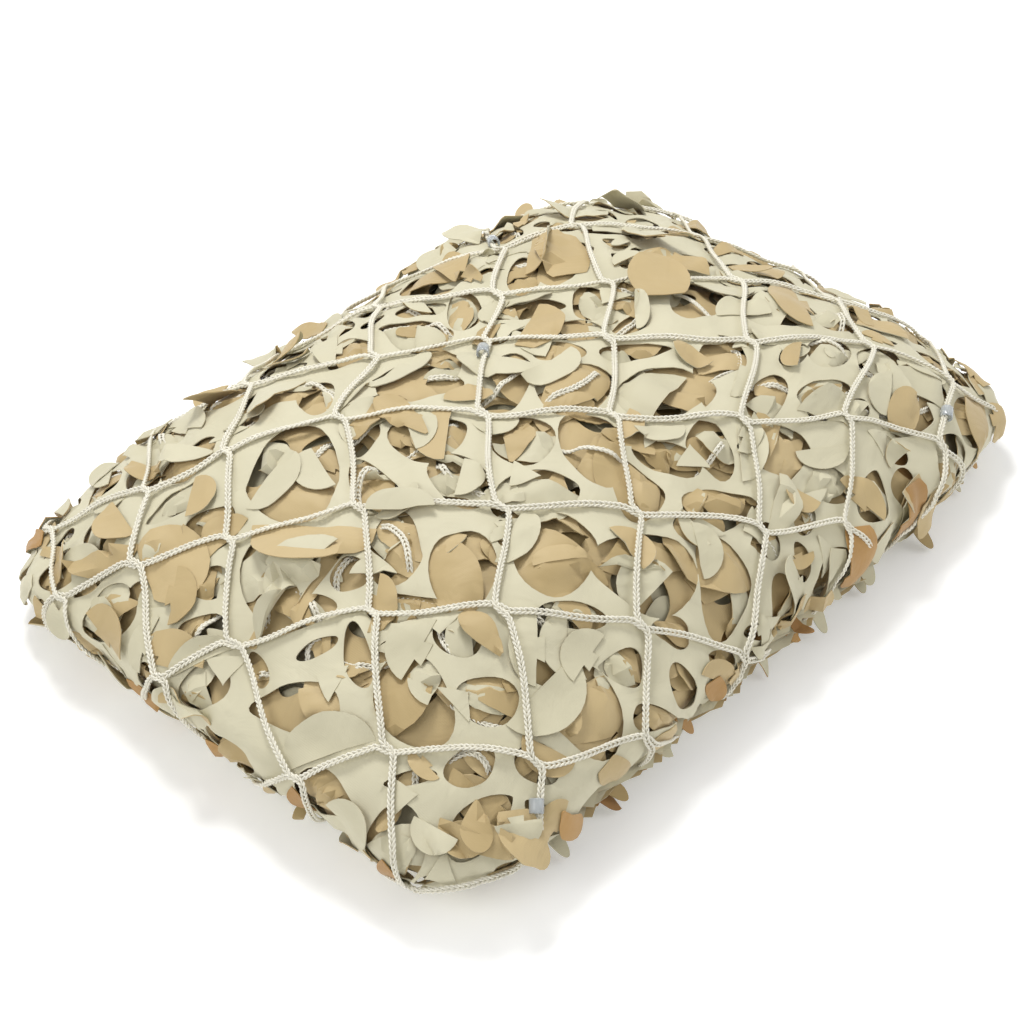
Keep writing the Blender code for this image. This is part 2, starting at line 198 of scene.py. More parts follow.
def outward(s, t):
    near = 0.003
    alongS = onSurface(s + near, t) - onSurface(s - near, t)
    alongT = onSurface(s, t + near) - onSurface(s, t - near)
    normal = np.cross(alongS, alongT)
    return normal / np.linalg.norm(normal, axis=-1, keepdims=True)


def wrap(places):
    # flat places, with their height over the cloth as z, onto the bundle
    s, t, h = places[:, 0], places[:, 1], places[:, 2]
    wrapped = onSurface(s, t) + outward(s, t) * (h + lumps(s, t))[:, None]
    low = bundle["floorGap"]
    wrapped[:, 2] = np.where(wrapped[:, 2] < low, low, wrapped[:, 2])
    return wrapped


# ---- the camera, and the net's knots as it sees them ----

def cameraAxes():
    azimuth, elevation = photoView["azimuth"], photoView["elevation"]
    back = np.array([math.sin(azimuth) * math.cos(elevation), -math.cos(azimuth) * math.cos(elevation),
                     math.sin(elevation)])
    right = np.array([math.cos(azimuth), math.sin(azimuth), 0.0])
    return right, np.cross(back, right), back


def makeCamera():
    right, up, back = cameraAxes()
    data = bpy.data.cameras.new("photo_camera")
    data.sensor_width = 36.0
    data.lens = data.sensor_width * photoView["focalPixels"] / photoView["frame"]
    data.shift_x = -photoView["shiftRightPixels"] / photoView["frame"]
    data.shift_y = -photoView["shiftUpPixels"] / photoView["frame"]
    camera = bpy.data.objects.new("photo_camera", data)
    bpy.context.scene.collection.objects.link(camera)
    place = Matrix((right, up, back)).transposed().to_4x4()
    place.translation = Vector(back * photoView["distance"]) + Vector((0.0, 0.0, photoView["aimHeight"]))
    camera.matrix_world = place
    bpy.context.scene.camera = camera


def toPixels(points):
    right, up, back = cameraAxes()
    away = points - (back * photoView["distance"] + np.array([0.0, 0.0, photoView["aimHeight"]]))
    depth = -(away @ back)
    centre = photoView["frame"] / 2
    across = centre + photoView["shiftRightPixels"] + photoView["focalPixels"] * (away @ right) / depth
    down = centre - photoView["shiftUpPixels"] - photoView["focalPixels"] * (away @ up) / depth
    return np.stack([across, down], axis=-1)


def evenKnot(column, row):
    p = (column - lattice["midColumn"]) * lattice["pitch"] + lattice["shift"][0]
    q = (lattice["midRow"] - row) * lattice["pitch"] + lattice["shift"][1]
    cosine, sine = math.cos(lattice["turn"]), math.sin(lattice["turn"])
    return np.array([p * cosine - q * sine, p * sine + q * cosine])


def knotFromPhoto(column, row, pixel):
    # the place on the bundle that the photo's camera sees at that pixel, or none near the even lattice
    start = evenKnot(column, row)
    place = start.copy()
    nudge = 0.0008
    for _ in range(12):
        trial = np.array([place, place + (nudge, 0.0), place + (0.0, nudge)])
        seen = toPixels(wrap(np.column_stack([trial, np.full(3, 0.004)])))
        slopes = np.column_stack([seen[1] - seen[0], seen[2] - seen[0]]) / nudge
        if abs(np.linalg.det(slopes)) < 1.0:
            return None
        step = np.linalg.solve(slopes, np.array(pixel) - seen[0])
        place = place + step * min(1.0, 0.010 / max(np.linalg.norm(step), 1e-9))
    isNear = np.linalg.norm(place - start) < lattice["reach"]
    return place if isNear and np.linalg.norm(seen[0] - pixel) < 4.0 else None


def findKnots():
    moved = {}
    for row, columns in knotPixels.items():
        for column, pixel in columns.items():
            place = knotFromPhoto(column, row, pixel)
            if place is not None:
                moved[(column, row)] = place - evenKnot(column, row)
    knots = {}
    for column in lattice["columns"]:
        for row in lattice["rows"]:
            near = [move for (c, r), move in moved.items() if abs(c - column) < 2 and abs(r - row) < 2]
            drift = 0.5 * np.mean(near, axis=0) if near else np.zeros(2)
            knots[(column, row)] = evenKnot(column, row) + moved.get((column, row), drift)
    print("net:", len(moved), "knots placed from the photo")
    return knots


makeCamera()
knots = findKnots()


def netPlace(column, row):
    c, r = math.floor(column), math.floor(row)
    across, down = column - c, row - r
    top = knots[(c, r)] * (1 - across) + knots[(c + 1, r)] * across
    bottom = knots[(c, r + 1)] * (1 - across) + knots[(c + 1, r + 1)] * across
    return top * (1 - down) + bottom * down


def netAxes(column, row):
    right = netPlace(column + 0.1, row) - netPlace(column - 0.1, row)
    down = netPlace(column, row + 0.1) - netPlace(column, row - 0.1)
    return right / np.linalg.norm(right), down / np.linalg.norm(down)


# ---- finishes ----

def linear(code):
    parts = [int(code[n:n + 2], 16) / 255.0 for n in (0, 2, 4)]
    return tuple(p / 12.92 if p <= 0.04045 else ((p + 0.055) / 1.055) ** 2.4 for p in parts) + (1.0,)


def addNode(tree, kind, settings=None, links=None):
    # settings name the node's own properties or its inputs, and links name an input and where it comes from
    node = tree.nodes.new(kind)
    for name, value in (settings or {}).items():
        if isinstance(name, str) and hasattr(node, name):
            setattr(node, name, value)
        else:
            node.inputs[name].default_value = value
    for name, source in (links or {}).items():
        tree.links.new(source, node.inputs[name])
    return node


def newMaterial(name):
    finish = bpy.data.materials.new(name)
    finish.use_nodes = True
    tree = finish.node_tree
    shader = next(node for node in tree.nodes if node.type == "BSDF_PRINCIPLED")
    return finish, tree, shader


clothFinish = {
    "pale": "CDC7AC",          # front, greenish sand
    "paleShade": "B5AE90",
    "tan": "C4AF83",           # back
    "tanShade": "9C8452",
    "ochre": "BC9458",         # back of what hangs at the edges: painted light shining through the thin cloth
    "ochreShade": "8A6230",
    "thread": 0.0012,          # threads are 0.4 mm apart, drawn wider, because they would not show
    "creaseScale": 26.0,
    "blotchScale": 14.0,
}


def clothMaterial(name, colour, shade, roughness):
    # polyurethane-coated polyester plain weave: matt, with a faint thread relief and soft handling creases
    finish, tree, shader = newMaterial(name)
    place = addNode(tree, "ShaderNodeTexCoord").outputs["Object"]
    blotch = addNode(tree, "ShaderNodeTexNoise",
                     {"Scale": clothFinish["blotchScale"], "Detail": 4.0, "Roughness": 0.6},
                     {"Vector": place})
    crease = addNode(tree, "ShaderNodeTexNoise",
                     {"Scale": clothFinish["creaseScale"], "Detail": 3.0, "Roughness": 0.5,
                      "Distortion": 1.2}, {"Vector": place})
    # this attribute draws the colour toward its shade colour: random tone, and on the deeper sheets painted shade of
    # the voids
    tone_and_depth_shade = addNode(tree, "ShaderNodeAttribute", {"attribute_name": "tone_and_depth_shade"})
    share = addNode(tree, "ShaderNodeMath", {"operation": "MULTIPLY_ADD", 1: 0.5, 2: -0.1},
                    {0: blotch.outputs["Fac"]})
    total = addNode(tree, "ShaderNodeMath", {"operation": "ADD", "use_clamp": True},
                    {0: share.outputs[0], 1: tone_and_depth_shade.outputs["Fac"]})
    base = addNode(tree, "ShaderNodeMix", {"data_type": "RGBA", 6: linear(colour), 7: linear(shade)},
                   {0: total.outputs[0]})
    flat = addNode(tree, "ShaderNodeUVMap", {"uv_map": "cloth"}).outputs["UV"]
    turns = 0.314 / clothFinish["thread"]
    bands = [addNode(tree, "ShaderNodeTexWave", {"bands_direction": way, "Scale": turns}, {"Vector": flat})
             for way in ("X", "Y")]
    threads = addNode(tree, "ShaderNodeMath", {"operation": "MAXIMUM"},
                      {0: bands[0].outputs["Fac"], 1: bands[1].outputs["Fac"]})
    weave = addNode(tree, "ShaderNodeBump", {"Strength": 0.22, "Distance": 0.0003},
                    {"Height": threads.outputs[0]})
    relief = addNode(tree, "ShaderNodeBump", {"Strength": 0.5, "Distance": 0.004},
                     {"Height": crease.outputs["Fac"], "Normal": weave.outputs["Normal"]})
    tree.links.new(base.outputs[2], shader.inputs["Base Color"])
    tree.links.new(relief.outputs["Normal"], shader.inputs["Normal"])
    shader.inputs["Roughness"].default_value = roughness
    shader.inputs["Sheen Weight"].default_value = 0.15
    shader.inputs["Specular IOR Level"].default_value = 0.35
    return finish


def cordMaterial():
    # bleached polyester chain knit: bright filaments with a soft lustre
    finish, tree, shader = newMaterial("knitted_polyester_cord")
    place = addNode(tree, "ShaderNodeTexCoord").outputs["Object"]
    grain = addNode(tree, "ShaderNodeTexNoise", {"Scale": 900.0, "Detail": 2.0}, {"Vector": place})
    base = addNode(tree, "ShaderNodeMix", {"data_type": "RGBA", 6: linear("F3F0E3"), 7: linear("D8D2BC")},
                   {0: grain.outputs["Fac"]})
    fibre = addNode(tree, "ShaderNodeBump", {"Strength": 0.35, "Distance": 0.0004},
                    {"Height": grain.outputs["Fac"]})
    tree.links.new(base.outputs[2], shader.inputs["Base Color"])
    tree.links.new(fibre.outputs["Normal"], shader.inputs["Normal"])
    shader.inputs["Roughness"].default_value = 0.6
    shader.inputs["Sheen Weight"].default_value = 0.25
    return finish


def plasticMaterial():
    # clear moulded polypropylene: a glossy, slightly milky shell
    finish, tree, shader = newMaterial("clear_polypropylene")
    place = addNode(tree, "ShaderNodeTexCoord").outputs["Object"]
    cloud = addNode(tree, "ShaderNodeTexNoise", {"Scale": 300.0, "Detail": 2.0}, {"Vector": place})
    base = addNode(tree, "ShaderNodeMix", {"data_type": "RGBA", 6: linear("E4E8EA"), 7: linear("C9CFD2")},
                   {0: cloud.outputs["Fac"]})
    tree.links.new(base.outputs[2], shader.inputs["Base Color"])
    shader.inputs["Roughness"].default_value = 0.12
    shader.inputs["Transmission Weight"].default_value = 0.55
    shader.inputs["IOR"].default_value = 1.49
    return finish


pale = clothMaterial("coated_weave_front", clothFinish["pale"], clothFinish["paleShade"], 0.62)
tan = clothMaterial("coated_weave_back", clothFinish["tan"], clothFinish["tanShade"], 0.58)
# the ochre back is painted light: its colour stands for light shining through the thin cloth
ochre = clothMaterial("coated_weave_back_backlit", clothFinish["ochre"], clothFinish["ochreShade"], 0.60)
# the other side of a face takes the next material in the list
clothSides = (pale, tan, pale, ochre, pale)
paleUp, tanUp, ochreUp = 0, 1, 3
print("finishes: made")


# ---- flat sheets with openings ----

def openingAt(place, right, down, halfAcross, halfDown, turn, draw, point=0.0):
    # point is 0 for an oval and 1 for a drop with one sharp end
    return {"place": np.array(place), "right": np.array(right), "down": np.array(down),
            "halfAcross": halfAcross, "halfDown": halfDown, "turn": turn, "point": point,
            "wave": (draw.uniform(0, 6.3), draw.uniform(0, 6.3))}


def openingRing(opening, corners=30):
    ring = []
    cosine, sine = math.cos(opening["turn"]), math.sin(opening["turn"])
    for n in range(corners):
        angle = 2.0 * math.pi * n / corners
        swell = 1.0 + 0.06 * math.sin(2 * angle + opening["wave"][0]) \
            + 0.05 * math.sin(3 * angle + opening["wave"][1])
        x = opening["halfAcross"] * math.cos(angle) * swell
        y = opening["halfDown"] * math.sin(angle) * swell \
            * (1.0 + opening["point"] * (1.25 * math.sin(angle / 2) - 1.0))
        turned = (x * cosine - y * sine, x * sine + y * cosine)
        ring.append(opening["place"] + opening["right"] * turned[0] + opening["down"] * turned[1])
    return ring


def openness(places, openings):
    # under 1 inside the nearest opening, and about how far inside or out each place is
    best = np.full(len(places), 9.0)
    depth = np.full(len(places), -1.0)
    for opening in openings:
        away = places[:, :2] - opening["place"]
        x, y = away @ opening["right"], away @ opening["down"]
        cosine, sine = math.cos(opening["turn"]), math.sin(opening["turn"])
        u = (x * cosine + y * sine) / opening["halfAcross"]
        v = (y * cosine - x * sine) / opening["halfDown"]
        value = np.hypot(u, v)
        isNearer = value < best
        best = np.where(isNearer, value, best)
        small = min(opening["halfAcross"], opening["halfDown"])
        depth = np.where(isNearer, (1.0 - value) * small, depth)
    return best, depth


def reachToward(opening, away):
    # from an opening's middle to its rim, in that direction
    x, y = away @ opening["right"], away @ opening["down"]
    cosine, sine = math.cos(opening["turn"]), math.sin(opening["turn"])
    u = (x * cosine + y * sine) / opening["halfAcross"]
    v = (y * cosine - x * sine) / opening["halfDown"]
    return 1.0 / math.hypot(u, v)


def scatterOpenings(draw, settings, placed):
    # darts, the large openings first, wherever the web between them stays wide enough
    found = list(placed)
    centres = [opening["place"] for opening in found]
    for share, slim, tries in settings["rounds"]:
        for _ in range(tries):
            place = np.array([draw.uniform(-1, 1) * settings["field"][0],
                              draw.uniform(-1, 1) * settings["field"][1]])
            across = share * draw.uniform(*settings["halfAcross"])
            down = share * slim * draw.uniform(*settings["halfDown"])
            fresh = openingAt(place, (1.0, 0.0), (0.0, 1.0), across, down, draw.uniform(0, 2 * math.pi),
                              draw, draw.choice((0.0, 0.0, 0.6, 0.9)))
            if math.hypot(*place) + across + 0.004 > settings["reachAt"](*place):
                continue
            if centres:
                ways = np.array(centres) - place
                gaps = np.hypot(ways[:, 0], ways[:, 1])
                near = np.nonzero(gaps < 0.075)[0]
                web = settings["web"]
                if any(gaps[n] < web + reachToward(fresh, ways[n] / max(gaps[n], 1e-9))
                       + reachToward(found[n], ways[n] / max(gaps[n], 1e-9)) for n in near):
                    continue
            found.append(fresh)
            centres.append(place)
    return found


def meshFrom(body, name):
    mesh = bpy.data.meshes.new(name)
    body.to_mesh(mesh)
    body.free()
    return mesh


def evaluated(thing):
    view = bpy.context.evaluated_depsgraph_get()
    view.update()
    return bpy.data.meshes.new_from_object(thing.evaluated_get(view))


def slabWithOpenings(body, openings, name):
    # a closed slab is cut by a prism for each opening, and only its upper face is kept
    faces = body.faces[:]
    grown = bmesh.ops.extrude_face_region(body, geom=faces)
    raised = [item for item in grown["geom"] if isinstance(item, bmesh.types.BMVert)]
    bmesh.ops.translate(body, vec=(0.0, 0.0, 0.01), verts=raised)
    bmesh.ops.recalc_face_normals(body, faces=body.faces)
    slab = bpy.data.objects.new(name, meshFrom(body, name))
    bpy.context.scene.collection.objects.link(slab)
    prisms = bmesh.new()
    for opening in openings:
        ring = [prisms.verts.new((place[0], place[1], -0.02)) for place in openingRing(opening)]
        face = prisms.faces.new(ring)
        grown = bmesh.ops.extrude_face_region(prisms, geom=[face])
        raised = [item for item in grown["geom"] if isinstance(item, bmesh.types.BMVert)]
        bmesh.ops.translate(prisms, vec=(0.0, 0.0, 0.05), verts=raised)
    bmesh.ops.recalc_face_normals(prisms, faces=prisms.faces)
    cutter = bpy.data.objects.new(name + "_cutter", meshFrom(prisms, name + "_cutter"))
    bpy.context.scene.collection.objects.link(cutter)
    cut = slab.modifiers.new("openings", "BOOLEAN")
    cut.operation = "DIFFERENCE"
    cut.solver = "EXACT"
    cut.use_self = True
    cut.object = cutter
    mesh = evaluated(slab)
    for thing in (slab, cutter):
        bpy.data.objects.remove(thing, do_unlink=True)
    flat = bmesh.new()
    flat.from_mesh(mesh)
    bpy.data.meshes.remove(mesh)
    others = [face for face in flat.faces if face.normal.z < 0.5]
    bmesh.ops.delete(flat, geom=others, context="FACES")
    for vert in flat.verts:
        vert.co.z = 0.0
    return flat


def sliceBody(flat, axis, low, high, pitch):
    normal = (1.0, 0.0, 0.0) if axis == 0 else (0.0, 1.0, 0.0)
    for n in range(int((high - low) / pitch) + 1):
        point = (low + n * pitch, 0.0, 0.0) if axis == 0 else (0.0, low + n * pitch, 0.0)
        bmesh.ops.bisect_plane(flat, geom=flat.verts[:] + flat.edges[:] + flat.faces[:], dist=1e-6,
                               plane_co=point, plane_no=normal)


def flatCrownSheet(name, reachAt, openings, pitch):
    body = bmesh.new()
    ring = bmesh.ops.create_circle(body, cap_ends=True, segments=280, radius=1.0)
    for vert in ring["verts"]:
        vert.co = Vector((vert.co.x, vert.co.y, 0.0)) * reachAt(vert.co.x, vert.co.y)
    flat = slabWithOpenings(body, openings, name)
    low = np.array([vert.co[:2] for vert in flat.verts]).min(axis=0)
    high = np.array([vert.co[:2] for vert in flat.verts]).max(axis=0)
    for axis in (0, 1):
        sliceBody(flat, axis, low[axis] + pitch / 2, high[axis], pitch)
    bmesh.ops.remove_doubles(flat, verts=flat.verts, dist=0.0004)
    bmesh.ops.triangulate(flat, faces=flat.faces)
    return flat


# ---- leaves ----

def leafBlank(kind, length, width):
    # flat, hinged on x = -length/2..length/2 at y = 0, and pointing to +y
    leaf = bmesh.new()
    bmesh.ops.create_circle(leaf, cap_ends=True, segments=28, radius=1.0)
    if kind in ("moon", "wing"):  # a half-moon with two sharp corners
        keep, squeeze, shift = -0.05, (length / 2, width / 1.05), 0.0
    elif kind == "axe":           # a half-moon on a neck
        keep, squeeze, shift = 0.05, (length / 2, width * 0.8), width * 0.2
    elif kind == "arm":           # an end of the web, drawn to a point between two openings
        keep, squeeze, shift = -0.30, (width / 2, length / 1.3), 0.0
    elif kind == "tongue":        # a rounded tab
        keep, squeeze, shift = -0.75, (width / 2, length / 1.75), 0.0
    else:                         # petal, pointed where it is joined
        keep, squeeze, shift = -0.97, (width / 2, length / 1.97), 0.0
    bmesh.ops.bisect_plane(leaf, geom=leaf.verts[:] + leaf.edges[:] + leaf.faces[:], dist=1e-6,
                           plane_co=(0, keep, 0), plane_no=(0, -1, 0), clear_outer=True)
    for vert in leaf.verts:
        vert.co.x *= squeeze[0]
        vert.co.y = (vert.co.y - keep) * squeeze[1] + shift
    if kind == "wing":            # joined by one of its corners
        for vert in leaf.verts:
            vert.co = (vert.co.y - width / 2, vert.co.x + length / 2, 0.0)
    if kind == "arm":
        for vert in leaf.verts:
            vert.co.x *= (1.0 - 0.97 * min(1.0, vert.co.y / length)) ** 0.9
    if kind == "petal":
        for vert in leaf.verts:
            share = vert.co.y / length
            vert.co.x *= 0.35 + 0.65 * min(1.0, 1.6 * share)
    if kind == "axe":
        root = [edge for edge in leaf.edges if all(abs(v.co.y - shift) < 1e-5 for v in edge.verts)]
        for n in (-1, 1):
            bmesh.ops.bisect_plane(leaf, geom=leaf.verts[:] + leaf.edges[:] + leaf.faces[:], dist=1e-6,
                                   plane_co=(n * length * 0.14, 0, 0), plane_no=(1, 0, 0))
        root = [edge for edge in leaf.edges
                if all(abs(v.co.y - shift) < 1e-5 and abs(v.co.x) < length * 0.145 for v in edge.verts)]
        grown = bmesh.ops.extrude_edge_only(leaf, edges=root)
        for item in grown["geom"]:
            if isinstance(item, bmesh.types.BMVert):
                item.co.y = 0.0
                item.co.x *= 1.25
    tall = max(vert.co.y for vert in leaf.verts)
    slices = max(3, int(tall / 0.006))
    for n in range(1, slices):
        bmesh.ops.bisect_plane(leaf, geom=leaf.verts[:] + leaf.edges[:] + leaf.faces[:], dist=1e-6,
                               plane_co=(0, n * tall / slices, 0), plane_no=(0, 1, 0))
    broad = max(vert.co.x for vert in leaf.verts)
    parts = 2 if broad < 0.024 else 5
    for n in range(1 - parts, parts):
        bmesh.ops.bisect_plane(leaf, geom=leaf.verts[:] + leaf.edges[:] + leaf.faces[:], dist=1e-6,
                               plane_co=(n * broad / parts, 0, 0), plane_no=(1, 0, 0))
    bmesh.ops.triangulate(leaf, faces=leaf.faces)
    return leaf


def curlPoint(x, y, leaf):
    # the leaf leaves the cloth at one angle and ends at another, with a cupped or twisted width
    start, end, tall = leaf["start"], leaf["end"], leaf["tall"]
    change = (end - start) / tall
    if abs(change) < 0.5:
        out, rise = y * math.cos(start), y * math.sin(start)
    else:
        out = (math.sin(start + change * y) - math.sin(start)) / change
        rise = (math.cos(start) - math.cos(start + change * y)) / change
    wide = 2.0 * x / leaf["length"]
    share = y / tall
    rise += leaf["cup"] * wide * wide * (0.3 + 0.7 * share) + leaf["twist"] * wide * share
    return x, out, rise


pileLook = {"cell": 0.0015, "field": (0.48, 0.40), "gap": 0.0006, "apart": 0.00055, "highest": 0.0080}


def newPile():
    # height of what lies highest and lowest, and how many pieces lie there, on an even grid of the flat cloth
    shape = tuple(int(2.0 * size / pileLook["cell"]) for size in pileLook["field"])
    return {"top": np.full(shape, -1.0), "low": np.full(shape, 1.0), "count": np.zeros(shape)}


def pileCell(places):
    cells = [((places[:, n] + pileLook["field"][n]) / pileLook["cell"]).astype(int) for n in (0, 1)]
    most = [int(2.0 * size / pileLook["cell"]) - 3 for size in pileLook["field"]]
    return np.clip(cells[0], 2, most[0]), np.clip(cells[1], 2, most[1])


def around(grid, places, choose):
    column, row = pileCell(places)
    found = grid[column, row]
    for across in (-2, -1, 0, 1, 2):
        for down in (-2, -1, 0, 1, 2):
            found = choose(found, grid[column + across, row + down])
    return found


def layOnPile(pile, faces):
    # many places on each triangle are marked in the grid
    corners = np.array([[vert.co[:] for vert in face.verts] for face in faces if len(face.verts) == 3])
    steps = 6
    shares = np.array([(a, b, steps - a - b) for a in range(steps + 1) for b in range(steps + 1 - a)]) / steps
    places = np.einsum("sk,tkc->tsc", shares, corners).reshape(-1, 3)
    column, row = pileCell(places)
    height = np.minimum(places[:, 2], pileLook["highest"])
    np.maximum.at(pile["top"], (column, row), height)
    np.minimum.at(pile["low"], (column, row), places[:, 2])
    marked = np.unique(column * pile["count"].shape[1] + row)
    pile["count"].ravel()[marked] += 1


def addLeaf(body, layers, leaf, pile=None):
    # leaf: place, right and down (the flat frame), turn, kind, length, width, base, start, end, cup, twist
    blank = leafBlank(leaf["kind"], leaf["length"], leaf["width"])
    leaf["tall"] = max(vert.co.y for vert in blank.verts)
    cosine, sine = math.cos(leaf["turn"]), math.sin(leaf["turn"])
    point = leaf["right"] * cosine + leaf["down"] * sine        # the way the leaf points
    side = leaf["down"] * cosine - leaf["right"] * sine
    turned = leaf["start"] + (leaf["end"] - leaf["start"]) \
        * np.array([vert.co.y for vert in blank.verts]) / leaf["tall"]
    foldedBack = np.clip(turned / (math.pi / 2) - 0.8, 0.0, 1.0)
    for vert in blank.verts:
        x, out, rise = curlPoint(vert.co.x, vert.co.y, leaf)
        place = leaf["place"] + side * x + point * out
        vert.co = (place[0], place[1], leaf["base"] + rise)
    apart = np.full(len(blank.verts), leaf["apart"])
    if pile is not None:
        places = np.array([vert.co[:] for vert in blank.verts])
        under = around(pile["top"], places, np.maximum) + pileLook["gap"]
        apart = pileLook["apart"] * (around(pile["count"], places, np.maximum) + 2.5 * foldedBack)
        for vert, height in zip(blank.verts, np.maximum(places[:, 2], under)):
            vert.co.z = height
        layOnPile(pile, blank.faces)
    for face in blank.faces:
        face.material_index = leaf["face"]
    isFlipped = (side[0] * point[1] - side[1] * point[0]) < 0
    if isFlipped:
        bmesh.ops.reverse_faces(blank, faces=blank.faces)
    mesh = meshFrom(blank, "leaf")
    count = len(body.verts)
    body.from_mesh(mesh)
    bpy.data.meshes.remove(mesh)
    body.verts.ensure_lookup_table()
    for vert, room in zip(body.verts[count:], apart):
        vert[layers["tone_and_depth_shade"]] = leaf["tone_and_depth_shade"]
        vert[layers["free"]] = leaf["free"]
        vert[layers["apart"]] = room


def newLayers(body):
    return {name: body.verts.layers.float.new(name) for name in ("tone_and_depth_shade", "free", "apart")}


def layerValues(body, layer):
    return np.array([vert[layer] for vert in body.verts])


# ---- the cords' lines on the flat cloth ----

cordLook = {
    "radius": 0.00066,          # one strand
    "columns": 0.00102,         # from the cord's middle to each of its two columns of loops
    "twist": 0.00060,           # how far the two strands of a column swing round it
    "period": 0.0062,           # two loops
    "step": 0.0010,
    "height": 0.0026,           # the cord's middle over the cloth
    "join": (0.0034, 0.0026),   # half the stretch in which two cords run together at a knot
    "wander": 0.0016,
    "hem": 0.009,
}


def cordLine(keys, isRow):
    # straight from knot to knot, and along with the crossing cord at each knot
    points = []
    for key in keys:
        right, down = netAxes(*key)
        slant = right * cordLook["join"][0] + down * cordLook["join"][1]
        across = down if isRow else right
        part = across * 0.0012 * (-1 if isRow else 1)
        points.append(knots[key] - slant + part)
        points.append(knots[key] + slant + part)
    return np.array(points)


def resample(points, step):
    lengths = np.concatenate([[0.0], np.cumsum(np.linalg.norm(np.diff(points, axis=0), axis=1))])
    count = max(2, int(lengths[-1] / step))
    at = np.linspace(0.0, lengths[-1], count)
    return np.column_stack([np.interp(at, lengths, points[:, n]) for n in range(points.shape[1])])


def soften(points, rounds):
    for _ in range(rounds):
        points[1:-1] = 0.25 * points[:-2] + 0.5 * points[1:-1] + 0.25 * points[2:]
    return points


def cordRuns():
    runs = []
    for isRow in (True, False):
        outer = lattice["rows"] if isRow else lattice["columns"]
        inner = lattice["columns"] if isRow else lattice["rows"]
        for fixed in list(outer)[1:-1]:
            keys = [(n, fixed) if isRow else (fixed, n) for n in list(inner)[1:-1]]
            line = soften(resample(cordLine(keys, isRow), 0.002), 3)
            phase = 1.7 * fixed + (0.9 if isRow else 0.0)
            wander = cordLook["wander"] * np.sin(60.0 * np.arange(len(line)) * 0.002 + phase)
            ahead = np.gradient(line, axis=0)
            ahead /= np.linalg.norm(ahead, axis=1, keepdims=True)
            line = line + np.column_stack([-ahead[:, 1], ahead[:, 0]]) * wander[:, None]
            height = onSurface(line[:, 0], line[:, 1])[:, 2]
            isOn = (height > cordLook["hem"]) \
                & (np.hypot(line[:, 0], line[:, 1]) < rimLengthAt(line[:, 0], line[:, 1]) + 0.075)
            start = None
            for n in range(len(line) + 1):
                on = n < len(line) and isOn[n]
                if on and start is None:
                    start = n
                if not on and start is not None:
                    if n - start > 20:
                        runs.append({"line": line[start:n], "isRow": isRow, "fixed": fixed})
                    start = None
    return runs


runs = cordRuns()
allCordPoints = np.concatenate([run["line"] for run in runs])
print("cords:", len(runs), "runs,", round(sum(len(run["line"]) for run in runs) * 0.002, 2), "m")


def distanceToCords(places):
    distance = np.full(len(places), 1.0)
    for start in range(0, len(places), 4000):
        block = places[start:start + 4000, None, :2] - allCordPoints[None, :, :]
        distance[start:start + 4000] = np.sqrt((block ** 2).sum(axis=2).min(axis=1))
    return distance


# ---- the cloth's sheets ----

